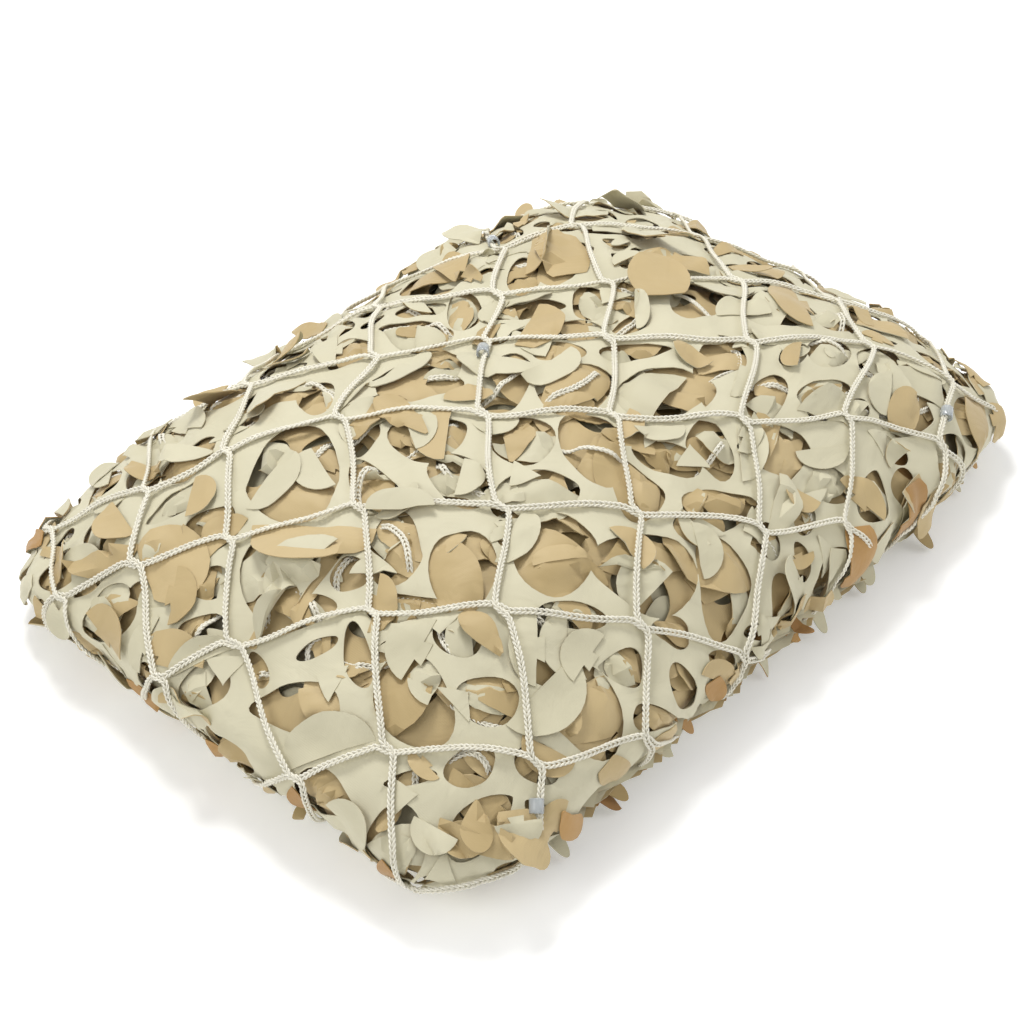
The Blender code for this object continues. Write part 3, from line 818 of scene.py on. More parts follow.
# openings of the top sheet, in cells of the support net: column, row, half width and half height in mm,
# and the turn in degrees
photoOpenings = (
    (3.52, 3.48, 22, 36, 0), (4.62, 3.24, 22, 16, -30), (4.76, 3.72, 14, 20, 0), (4.16, 3.20, 7, 15, 20),
    (4.13, 3.75, 11, 21, 0), (5.28, 3.28, 17, 18, 20), (5.80, 3.36, 15, 27, 0), (5.28, 3.86, 24, 13, -20),
    (6.13, 3.20, 11, 9, 0), (6.36, 3.42, 18, 9, 10), (6.69, 3.28, 12, 18, 0), (6.08, 3.78, 13, 19, 0),
    (6.70, 3.86, 23, 12, -15), (7.28, 3.26, 24, 14, 10), (7.72, 3.57, 20, 11, 25), (7.53, 3.86, 7, 13, 0),
    (8.18, 2.20, 14, 20, 20), (8.68, 2.27, 19, 13, 25), (8.60, 2.72, 16, 22, 0), (8.08, 2.88, 9, 8, 0),
    (7.18, 2.72, 12, 19, 0), (7.67, 2.15, 14, 18, 0), (7.73, 2.76, 17, 16, 0), (7.38, 2.20, 8, 11, 0),
    (6.42, 2.68, 24, 23, 0), (6.80, 2.22, 14, 20, 15), (6.20, 2.13, 18, 7, 0), (5.18, 2.56, 14, 22, 10),
    (5.60, 2.14, 13, 8, 0), (5.70, 2.62, 20, 22, 20), (4.46, 2.56, 24, 19, 0), (4.68, 2.20, 9, 18, -25),
    (3.36, 2.30, 22, 14, 0), (3.66, 2.48, 9, 20, -20), (3.47, 4.42, 26, 26, 0), (3.46, 4.88, 20, 9, -10),
    (3.88, 4.60, 9, 9, 0), (4.24, 4.40, 13, 24, 15), (4.72, 4.62, 16, 24, 0), (4.25, 4.95, 20, 8, 0),
    (5.42, 4.42, 19, 27, 0), (6.08, 4.52, 26, 24, 0), (5.50, 4.97, 18, 7, 0), (6.74, 4.50, 16, 27, -15),
    (6.45, 4.06, 9, 11, 0), (6.30, 4.96, 10, 9, 0), (3.28, 5.54, 23, 14, 15), (3.86, 5.30, 7, 18, 0),
    (4.24, 5.66, 19, 22, 0), (4.62, 5.18, 12, 12, 0), (4.76, 5.63, 16, 11, -15), (5.20, 5.26, 12, 17, 0),
    (5.46, 5.70, 21, 22, 0), (5.86, 5.36, 12, 9, 0), (6.70, 1.36, 18, 22, 0), (6.14, 1.55, 11, 22, 0),
    (7.36, 1.46, 23, 20, 0), (7.81, 1.60, 13, 12, 0), (6.66, 0.62, 24, 16, 0), (6.38, 0.14, 24, 8, 0),
    (5.26, 0.72, 10, 18, 0), (5.70, 0.48, 20, 29, 0), (5.62, 1.80, 22, 11, 0), (5.30, 1.34, 20, 9, 0),
    (5.08, 1.84, 8, 10, 0), (5.86, 1.28, 10, 18, 0), (4.36, 1.66, 22, 16, 30), (4.76, 1.26, 10, 20, -15),
    (4.46, 0.40, 20, 30, 0), (2.45, 3.35, 18, 9, -20), (2.30, 4.30, 22, 9, 15), (2.42, 4.80, 20, 12, 0),
    (2.75, 4.35, 12, 9, 0), (1.60, 4.30, 18, 14, 0), (3.30, 6.20, 20, 12, 30),
)

# leaves that lie over the top sheet there: column, row, length and width in mm, the way it points in
# degrees, kind, side that shows, rise at the root and at the tip in degrees, and 1 where it lies over a cord
photoLeaves = (
    (3.34, 3.45, 47, 21, 39, "moon", "pale", 4, 10, 0),
    (4.27, 2.24, 48, 21, 38, "moon", "pale", 5, 12, 0),
    (5.50, 2.32, 48, 21, 42, "moon", "pale", 5, 12, 0),
    (5.12, 3.03, 30, 15, 75, "moon", "pale", 4, 10, 0),
    (5.08, 4.24, 46, 17, 25, "moon", "pale", 6, 14, 0),
    (5.16, 5.53, 62, 25, 52, "moon", "pale", 8, 14, 0),
    (4.38, 5.33, 46, 25, 215, "axe", "pale", 5, 8, 0),
    (3.62, 4.62, 56, 32, 235, "axe", "pale", 5, 8, 0),
    (5.63, 5.34, 38, 22, 220, "axe", "pale", 6, 10, 0),
    (3.42, 5.92, 60, 25, 270, "moon", "pale", 7, 12, 0),
    (6.50, 4.27, 38, 16, -15, "moon", "pale", 8, 20, 0),
    (6.33, 3.10, 34, 14, 80, "moon", "pale", 6, 16, 0),
    (7.20, 3.74, 42, 20, 20, "moon", "pale", 5, 14, 0),
    (7.76, 3.26, 42, 16, 85, "moon", "pale", 6, 14, 0),
    (6.91, 2.50, 34, 13, 10, "moon", "pale", 6, 14, 0),
    (8.36, 2.60, 38, 18, 170, "moon", "pale", 6, 12, 0),
    (8.70, 2.02, 38, 13, 90, "moon", "pale", 6, 12, 0),
    (5.27, 1.04, 36, 16, 90, "moon", "pale", 10, 30, 0),
    (5.06, 1.36, 26, 15, 200, "moon", "pale", 6, 12, 0),
    (2.10, 4.10, 44, 58, -4, "tongue", "tan", 8, -4, 0), (2.30, 4.36, 40, 22, 20, "axe", "tan", 12, 6, 0),
    (1.60, 3.70, 54, 18, 95, "moon", "tan", 20, 30, 0),
    (2.55, 5.02, 44, 15, 270, "moon", "pale", 8, 12, 0),
    (6.42, 1.42, 50, 44, 262, "tongue", "tan", 12, 6, 1),
    (4.30, 4.06, 42, 14, 270, "moon", "pale", 14, 10, 1),
    (3.92, 2.72, 44, 11, 40, "moon", "pale", 20, 50, 0),
    (6.20, 1.60, 36, 11, 0, "moon", "pale", 14, 40, 0),
    (4.60, 3.27, 46, 24, -125, "petal", "tan", 6, 4, 0),
    (4.66, 0.60, 56, 30, 265, "petal", "tan", 8, 10, 0),
    (5.72, 0.80, 58, 38, 268, "tongue", "tan", 5, 4, 0),
    (8.60, 2.98, 34, 26, 265, "tongue", "tan", 6, 6, 0),
    (4.92, 5.32, 34, 22, 240, "petal", "tan", 14, 24, 0),
)

# flaps that curl out at the sides: column and row of the root, the way it points in degrees, length and
# width in mm, kind, side that shows, and rise at the root and at the tip in degrees
edgeFlaps = (
    (8.12, 3.92, 62, 48, 42, "tongue", "ochre", 50, -30), (8.66, 3.38, 50, 44, 40, "tongue", "ochre", 50, -30),
    (9.02, 3.32, 40, 38, 26, "moon", "tan", 35, 80), (7.52, 4.52, 60, 36, 32, "tongue", "tan", 10, -60),
    (7.86, 4.45, 38, 36, 26, "tongue", "tan", 30, -20), (9.42, 2.95, 20, 36, 24, "petal", "tan", 40, 20),
    (6.15, 5.90, 50, 34, 22, "moon", "tan", 20, 20), (6.70, 5.30, 48, 26, 22, "tongue", "ochre", 20, 10),
    (6.95, 5.12, 44, 30, 18, "axe", "tan", 16, 20), (5.62, 6.10, 50, 36, 28, "tongue", "tan", 10, -50),
    (5.20, 6.40, 60, 34, 24, "petal", "ochre", 30, 20), (4.60, 6.35, 96, 40, 24, "petal", "tan", 40, 60),
    (4.85, 6.40, 78, 40, 32, "tongue", "tan", 50, 90), (4.50, 6.55, 112, 36, 24, "moon", "tan", 40, 60),
    (4.30, 6.55, 120, 34, 20, "moon", "pale", 15, 30), (4.85, 6.45, 75, 34, 20, "axe", "pale", 25, 50),
    (7.20, 4.85, 50, 28, 18, "moon", "pale", 15, 20), (8.45, 3.75, 55, 28, 20, "wing", "tan", 20, 20),
    (4.55, -0.15, 225, 44, 28, "moon", "pale", 45, 30), (4.95, -0.30, 230, 46, 30, "tongue", "pale", 60, 40),
    (3.20, 1.00, 225, 42, 26, "axe", "pale", 50, 40),
    (0.78, 3.25, 205, 50, 32, "tongue", "pale", 60, 40),
    (0.92, 2.90, 220, 42, 28, "moon", "ochre", 70, 50), (9.60, 1.90, 330, 46, 28, "moon", "pale", 45, 40),
    (9.35, 1.55, 325, 42, 28, "axe", "tan", 45, 40),
    (3.95, 6.88, 150, 34, 22, "moon", "ochre", 20, 20), (3.00, 6.20, 150, 34, 20, "moon", "ochre", 20, 30),
    (2.30, 5.70, 150, 34, 18, "moon", "ochre", 25, 20), (1.55, 4.95, 140, 36, 20, "moon", "ochre", 30, 20),
    (1.05, 4.10, 150, 30, 20, "axe", "pale", 30, 40), (0.78, 3.60, 190, 34, 22, "tongue", "pale", 20, 30),
    (0.95, 3.10, 215, 36, 22, "tongue", "ochre", 45, 20), (1.20, 2.75, 225, 38, 20, "wing", "tan", 35, 60),
    (1.55, 2.45, 230, 34, 22, "moon", "pale", 25, 60), (2.10, 2.20, 225, 40, 22, "moon", "pale", 20, 50),
    (2.60, 1.80, 230, 36, 20, "axe", "tan", 30, 60), (3.05, 1.20, 225, 44, 28, "tongue", "pale", 30, 45),
    (3.45, 0.75, 220, 40, 24, "tongue", "tan", 28, 60), (4.10, -0.15, 230, 40, 24, "moon", "tan", 30, 50),
    (4.90, -0.70, 225, 42, 30, "tongue", "pale", 35, 20), (9.20, 1.20, 320, 36, 22, "tongue", "tan", 25, 50),
    (8.70, 0.62, 315, 34, 20, "moon", "ochre", 25, 40), (9.65, 2.10, 330, 34, 22, "axe", "tan", 30, 50),
)

topSheet = {"field": (0.42, 0.31), "rounds": ((1.0, 1.0, 2500), (0.75, 0.9, 2200), (0.6, 0.6, 3000)),
            "halfAcross": (0.017, 0.026), "halfDown": (0.012, 0.019), "web": 0.003,
            "endReach": 0.070, "sideReach": 0.030, "ragged": 0.010, "grid": 0.0085,
            "lift": 0.0017, "laidLeaves": 60, "seed": 5, "thickness": 0.0006}


def sheetReach(endReach, sideReach, ragged, phase):
    # length of cloth from the middle to the sheet's edge: down the folded ends, and just over the cut sides
    def reachAt(s, t):
        turn = math.atan2(t, s)
        x = abs(math.cos(turn)) / bundle["halfLength"]
        y = abs(math.sin(turn)) / bundle["halfWidth"]
        share = smooth((x ** 5 / (x ** 5 + y ** 5) - 0.25) / 0.55)
        wave = math.sin(23 * turn + phase) + 0.6 * math.sin(57 * turn + 2.1 * phase)
        return float(rimLengthAt(s, t)) + sideReach + (endReach - sideReach) * float(share) \
            + ragged * wave * (1.0 - 0.8 * float(share))
    return reachAt


def curlEdges(places, openings, amount, seed):
    # the cut edges lift and sink unevenly
    _, depth = openness(places, openings)
    near = np.exp(-np.abs(depth) / 0.007)
    wave = np.sin(95.0 * places[:, 0] + 2.1 * seed) * np.sin(83.0 * places[:, 1] + 1.3 * seed) \
        + 0.5 * np.sin(190.0 * places[:, 0] - 150.0 * places[:, 1] + seed)
    crumple = np.sin(160.0 * places[:, 0] + 75.0 * places[:, 1] + seed) \
        * np.sin(120.0 * places[:, 1] - 95.0 * places[:, 0] + 2.0 * seed)
    return amount * (near * wave + 0.45 * crumple)


def finishSheet(body, name, mapping, thickness):
    places = np.array([vert.co[:] for vert in body.verts])
    extent = places.max(axis=0) - places.min(axis=0)
    flat = (float(min(extent[:2])), float(max(extent[:2])))
    area = min(sum(face.calc_area() for face in body.faces), flat[0] * flat[1])
    weave = body.loops.layers.uv.new("cloth")
    for face in body.faces:
        for loop in face.loops:
            loop[weave].uv = loop.vert.co.xy
    wrapped = mapping(places)
    for vert, place in zip(body.verts, wrapped):
        vert.co = place
    mesh = meshFrom(body, name)
    for material in clothSides:
        mesh.materials.append(material)
    mesh.shade_smooth()
    sheet = bpy.data.objects.new(name, mesh)
    bpy.context.scene.collection.objects.link(sheet)
    thick = sheet.modifiers.new("thickness", "SOLIDIFY")
    thick.thickness = thickness
    thick.offset = -1.0
    thick.material_offset = 1
    thick.material_offset_rim = 0
    crisp = sheet.modifiers.new("cut_edges", "EDGE_SPLIT")
    crisp.split_angle = math.radians(38)
    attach(sheet, "root")
    print("sheet:", name, len(mesh.polygons), "faces,", [round(size, 3) for size in flat], round(area, 3))
    return sheet


def pressUnderCords(places, free, apart):
    # cloth is held down under the cords, and each leaf a little over the one before
    distance = distanceToCords(places)
    ceiling = apart + np.maximum(distance - 0.0034, 0.0) * 0.75
    pressed = np.minimum(places[:, 2], ceiling)
    return np.where(free > 0.5, places[:, 2], pressed)


def openingsFromPhoto(draw):
    found = []
    for column, row, across, down, turn in photoOpenings:
        right, below = netAxes(column, row)
        found.append(openingAt(netPlace(column, row), right, below, 1.28 * across / 1000,
                               1.28 * down / 1000, math.radians(turn + draw.choice((0, 180))), draw,
                               draw.choice((0.0, 0.5, 0.8))))
    return found


# ochre is the back side with painted light shining through it
faceOf = {"pale": paleUp, "tan": tanUp, "ochre": ochreUp}


def leavesFromPhoto(draw):
    found = []
    for column, row, length, width, turn, kind, face, start, end, over in photoLeaves:
        right, below = netAxes(column, row)
        found.append({"place": netPlace(column, row), "right": right, "down": below,
                      "turn": math.radians(turn), "kind": kind, "length": length / 1000,
                      "width": width / 1000, "base": 0.0004 + 0.0058 * over, "start": math.radians(start),
                      "end": math.radians(end), "cup": draw.uniform(-0.0005, 0.0015),
                      "twist": draw.uniform(-0.0015, 0.0015), "face": faceOf[face],
                      "tone_and_depth_shade": draw.uniform(0.0, 0.25), "free": float(over),
                      "apart": draw.uniform(0.0004, 0.0016)})
    return found


def flapsAtEdges(draw):
    found = []
    for column, row, turn, length, width, kind, face, start, end in edgeFlaps:
        right, below = netAxes(column, row)
        found.append({"place": netPlace(column, row), "right": right, "down": below,
                      "turn": math.radians(turn), "kind": kind, "length": 0.8 * length / 1000,
                      "width": 0.8 * width / 1000, "base": 0.0004, "start": math.radians(0.45 * start),
                      "end": math.radians(0.6 * end), "cup": draw.uniform(-0.004, 0.004),
                      "twist": draw.uniform(-0.004, 0.004), "face": faceOf[face],
                      "tone_and_depth_shade": draw.uniform(0.0, 0.35), "free": 1.0, "apart": 0.0})
    return found


def laidLeaf(draw, settings):
    # a cut leaf that lies on the web
    place = np.array([draw.uniform(-1, 1) * settings["field"][0], draw.uniform(-1, 1) * settings["field"][1]])
    length = draw.uniform(0.030, 0.048)
    return {"place": place, "right": np.array([1.0, 0.0]), "down": np.array([0.0, 1.0]),
            "turn": draw.uniform(0, 2 * math.pi), "kind": draw.choice(("moon", "moon", "wing", "axe")),
            "length": length, "width": length * draw.uniform(0.42, 0.55), "base": 0.0005,
            "start": math.radians(draw.uniform(2, 7)), "end": math.radians(draw.uniform(3, 30)),
            "cup": draw.uniform(-0.0005, 0.0015), "twist": draw.uniform(-0.001, 0.001), "face": paleUp,
            "tone_and_depth_shade": draw.uniform(0.0, 0.2), "free": 0.0, "apart": draw.uniform(0.0006, 0.0018)}


def webArm(draw, opening):
    angle = draw.uniform(0.0, 2.0 * math.pi)
    hinge = opening["place"] + opening["right"] * math.cos(angle) * opening["halfAcross"] * 1.08 \
        + opening["down"] * math.sin(angle) * opening["halfDown"] * 1.08
    inward = opening["place"] - hinge
    turn = math.atan2(inward @ opening["down"], inward @ opening["right"]) + draw.choice((-0.7, 0.7))
    length = draw.uniform(0.012, 0.019)
    return {"place": hinge, "right": opening["right"], "down": opening["down"], "turn": turn, "kind": "arm",
            "length": length, "width": draw.uniform(0.020, 0.030), "base": 0.0003,
            "start": 0.0, "end": math.radians(draw.uniform(-4, 14)), "cup": 0.0,
            "twist": draw.uniform(-0.001, 0.001), "face": paleUp, "tone_and_depth_shade": 0.0, "free": 0.0,
            "apart": 0.0009}


def looseLeaf(draw, opening, settings):
    # a leaf hinged on the rim of its opening and lying across it
    angle = draw.uniform(0.0, 2.0 * math.pi)
    hinge = opening["place"] + opening["right"] * math.cos(angle) * opening["halfAcross"] * 0.92 \
        + opening["down"] * math.sin(angle) * opening["halfDown"] * 0.92
    inward = opening["place"] - hinge
    point = math.atan2(inward @ opening["down"], inward @ opening["right"]) + draw.uniform(-0.5, 0.5)
    kind = draw.choices(("moon", "axe", "tongue", "petal", "wing"), settings["kinds"])[0]
    size = opening["halfAcross"] + opening["halfDown"]
    length = size * draw.uniform(*settings["length"])
    width = length * draw.uniform(0.40, 0.56)
    end = draw.uniform(*settings["end"])
    if draw.random() < settings["rolled"]:
        end = draw.uniform(90, 190)
    return {"place": hinge, "right": opening["right"], "down": opening["down"], "turn": point,
            "kind": kind, "length": length, "width": width,
            "base": settings["base"] + draw.uniform(0.0, settings["stack"]),
            "start": math.radians(draw.uniform(*settings["start"])),
            "end": math.radians(end),
            "cup": draw.uniform(-0.001, 0.002), "twist": draw.uniform(-0.003, 0.003),
            "face": draw.choices(settings["faces"], settings["shares"])[0],
            "tone_and_depth_shade": draw.uniform(0.0, settings["tone_and_depth_shade"]), "free": 0.0,
            "apart": draw.uniform(0.0004, 0.0018)}


topLeaves = {"kinds": (4, 3, 1, 1, 3), "length": (1.0, 1.35), "base": 0.0004, "stack": 0.0008,
             "start": (2, 14), "end": (4, 40), "faces": (paleUp, tanUp), "shares": (2, 3), "tone_and_depth_shade": 0.25,
             "rolled": 0.13}


def makeTopSheet():
    draw = random.Random(topSheet["seed"])
    reachAt = sheetReach(topSheet["endReach"], topSheet["sideReach"], topSheet["ragged"], 1.0)
    fixed = openingsFromPhoto(draw)
    openings = scatterOpenings(draw, {**topSheet, "reachAt": reachAt}, fixed)
    body = flatCrownSheet("garnish_top", reachAt, openings, topSheet["grid"])
    layers = newLayers(body)
    for face in body.faces:
        face.material_index = paleUp
    pile = newPile()
    layOnPile(pile, body.faces)
    leaves = []
    for _ in range(topSheet["laidLeaves"]):
        leaf = laidLeaf(draw, topSheet)
        if np.hypot(*leaf["place"]) < rimLengthAt(*leaf["place"]) + 0.02:
            leaves.append(leaf)
    for n, opening in enumerate(openings):
        if draw.random() < (0.75 if n >= len(fixed) else 0.25):
            leaves.append(looseLeaf(draw, opening, topLeaves))
        if draw.random() < 0.35:
            leaves.append(webArm(draw, opening))
    leaves.sort(key=lambda leaf: leaf["end"])
    for leaf in leaves + leavesFromPhoto(draw) + flapsAtEdges(draw):
        addLeaf(body, layers, leaf, pile)
    places = np.array([vert.co[:] for vert in body.verts])
    places[:, 2] += curlEdges(places, openings, topSheet["lift"], 3.0)
    heights = pressUnderCords(places, layerValues(body, layers["free"]),
                              layerValues(body, layers["apart"]))
    for vert, height in zip(body.verts, heights):
        vert.co.z = height
    settled = newPile()
    layOnPile(settled, body.faces)
    sheet = finishSheet(body, "garnish_top", wrap, topSheet["thickness"])
    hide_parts("garnish")
    return openings, settled


# sheets that show through the openings, from the top down; each deeper sheet and its leaves get a higher tone,
# painted shade that darkens the deeper layers
underSheets = (
    {"name": "garnish_second", "restsOn": "garnish_third", "level": -0.0052, "tone_and_depth_shade": 0.18, "face": tanUp, "seed": 21, "endReach": 0.066,
     "sideReach": 0.040, "rounds": ((1.0, 1.0, 1500), (0.7, 0.9, 900)), "halfAcross": (0.015, 0.023),
     "halfDown": (0.012, 0.018),
     "leaves": {"kinds": (4, 2, 2, 3, 4), "length": (1.0, 1.4), "base": -0.0046, "stack": 0.0010,
                "start": (-4, 25), "end": (-15, 60), "faces": (tanUp, paleUp), "shares": (7, 1),
                "tone_and_depth_shade": 0.45, "often": 0.65, "rolled": 0.14}},
    {"name": "garnish_third", "restsOn": "garnish_fourth", "level": -0.0105, "tone_and_depth_shade": 0.55, "face": paleUp, "seed": 33, "endReach": 0.060,
     "sideReach": 0.046, "rounds": ((1.0, 1.0, 1400), (0.7, 0.9, 600)), "halfAcross": (0.015, 0.023),
     "halfDown": (0.012, 0.018),
     "leaves": {"kinds": (4, 2, 2, 3, 3), "length": (1.0, 1.3), "base": -0.0098, "stack": 0.0010,
                "start": (-6, 8), "end": (-10, 16), "faces": (paleUp, tanUp), "shares": (3, 3),
                "tone_and_depth_shade": 0.5, "often": 0.25, "rolled": 0.05}},
    {"name": "garnish_fourth", "restsOn": "garnish_folds", "level": -0.0156, "tone_and_depth_shade": 0.9, "face": tanUp, "seed": 47, "endReach": 0.050,
     "sideReach": 0.030, "rounds": ((1.0, 1.0, 500),), "halfAcross": (0.010, 0.016), "halfDown": (0.008, 0.012),
     "leaves": {"kinds": (4, 1, 2, 3, 3), "length": (1.0, 1.3), "base": -0.0150, "stack": 0.0008,
                "start": (-4, 6), "end": (-6, 10), "faces": (tanUp, ochreUp), "shares": (2, 1),
                "tone_and_depth_shade": 0.7, "often": 0.1, "rolled": 0.0}},
)


def ceilingUnder(places, openings, level):
    # cloth stays under the web above it and may rise into that web's openings
    _, depth = openness(places, openings)
    return level - 0.0008 + np.clip((depth - 0.0030) * 0.8, 0.0, 0.0050)


def makeUnderSheet(settings, openingsAbove, levelAbove, pileAbove):
    draw = random.Random(settings["seed"])
    reachAt = sheetReach(settings["endReach"], settings["sideReach"], 0.010, settings["seed"])
    field = {**settings, "field": (0.40, 0.30), "web": 0.009, "reachAt": reachAt}
    openings = scatterOpenings(draw, field, [])
    body = flatCrownSheet(settings["name"], reachAt, openings, 0.011)
    layers = newLayers(body)
    for face in body.faces:
        face.material_index = settings["face"]
    for vert in body.verts:
        vert.co.z = settings["level"]
        # painted shade: the deeper the sheet, the darker its tone
        vert[layers["tone_and_depth_shade"]] = settings["tone_and_depth_shade"]
    pile = newPile()
    layOnPile(pile, body.faces)
    leaves = [looseLeaf(draw, opening, settings["leaves"]) for opening in openings]
    for opening in openingsAbove:
        leaves += [looseLeaf(draw, opening, settings["leaves"]) for _ in range(3)
                   if draw.random() < settings["leaves"]["often"]]
    leaves.sort(key=lambda leaf: leaf["end"])
    for leaf in leaves:
        addLeaf(body, layers, leaf, pile)
    places = np.array([vert.co[:] for vert in body.verts])
    places[:, 2] += curlEdges(places, openings, 0.0013, settings["seed"])
    apart = layerValues(body, layers["apart"])
    ceiling = ceilingUnder(places, openingsAbove, levelAbove)
    ceiling = np.minimum(ceiling, around(pileAbove["low"], places, np.minimum) - 0.0008) - 0.0024 + 1.4 * apart
    heights = np.minimum(places[:, 2], ceiling)
    heights = np.minimum(heights, pressUnderCords(np.column_stack([places[:, :2], heights]),
                                                  np.zeros(len(heights)), 1.4 * apart - 0.0028))
    for vert, height in zip(body.verts, heights):
        vert.co.z = height
    settled = newPile()
    layOnPile(settled, body.faces)
    finishSheet(body, settings["name"], wrap, 0.0006)
    return openings, settled


# ---- the folded layers inside, whose cut edges show along the sides ----

folds = {
    "layers": 9, "sink": 0.0165, "belly": 0.030, "foldArc": 0.010, "endRoom": 0.010, "sideRoom": 0.006, "columns": 60,
    "rows": (0.0, 0.35, 0.65, 0.82, 0.90, 0.94, 0.965, 0.985, 1.0), "scallop": 0.007, "ripple": 0.0011,
    "draw": 0.105, "endTuck": 0.055, "sideTuck": 0.085, "flapsPerSide": 8, "seed": 71,
}


def stackPoint(layer, u, v):
    # middle of one layer's cloth, with u and v from -1 to 1
    share = layer / (folds["layers"] - 1)
    belly = 1.0 - folds["belly"] * (2.0 * share - 1.0) ** 2
    drawnIn = max(0.0, 1.0 - 2.2 * share) ** 2
    corner = folds["draw"] * np.minimum(np.abs(v), 1.0) ** 5, folds["draw"] * np.minimum(np.abs(u), 1.0) ** 5
    x = (bundle["halfLength"] - folds["endRoom"]) * (belly - folds["endTuck"] * drawnIn) * u * (1.0 - corner[0])
    y = (bundle["halfWidth"] - folds["sideRoom"]) * (belly - folds["sideTuck"] * drawnIn) * v * (1.0 - corner[1])
    top = crownHeight(np.clip(x, -bundle["halfLength"], bundle["halfLength"]),
                      np.clip(y, -bundle["halfWidth"], bundle["halfWidth"])) - folds["sink"]
    low = 0.0016 + 0.0012 * np.clip((np.abs(v) - 0.8) / 0.2, 0.0, 1.0)
    z = low + (top - low) * share
    wave = np.sin(43.0 * x + 2.0 * layer) * np.cos(37.0 * y - 2.0 * layer)
    z = z + folds["ripple"] * wave * min(layer, 1)
    return np.stack([x, y, z], axis=-1)


def stackMap(places):
    # s runs along the whole folded strip, t across it, z is height over the cloth
    panel = 2.0 * (bundle["halfLength"] - folds["endRoom"])
    unit = panel + folds["foldArc"]
    s, v, h = places[:, 0], places[:, 1] / bundle["halfWidth"], places[:, 2]
    layer = np.clip((s // unit).astype(int), 0, folds["layers"] - 1)
    mapped = np.zeros((len(places), 3))
    for n in range(folds["layers"]):
        isHere = layer == n
        heading = 1.0 if n % 2 == 0 else -1.0
        rest = s[isHere] - n * unit
        u = heading * (2.0 * np.minimum(rest, panel) / panel - 1.0)
        flat = stackPoint(n, u, v[isHere])
        if n < folds["layers"] - 1:
            turn = math.pi * np.clip((rest - panel) / folds["foldArc"], 0.0, 1.0)
            above = stackPoint(n + 1, np.full_like(u, heading), v[isHere])
            below = stackPoint(n, np.full_like(u, heading), v[isHere])
            half = (above - below) / 2
            reach = np.linalg.norm(half, axis=1, keepdims=True) * np.array([[heading * 0.8, 0.0, 0.0]])
            bent = (below + above) / 2 - half * np.cos(turn)[:, None] + reach * np.sin(turn)[:, None]
            flat = np.where((rest > panel)[:, None], bent, flat)
        flat[:, 2] += heading * h[isHere]
        mapped[isHere] = flat
    mapped[:, 2] = np.maximum(mapped[:, 2], bundle["floorGap"])
    return mapped


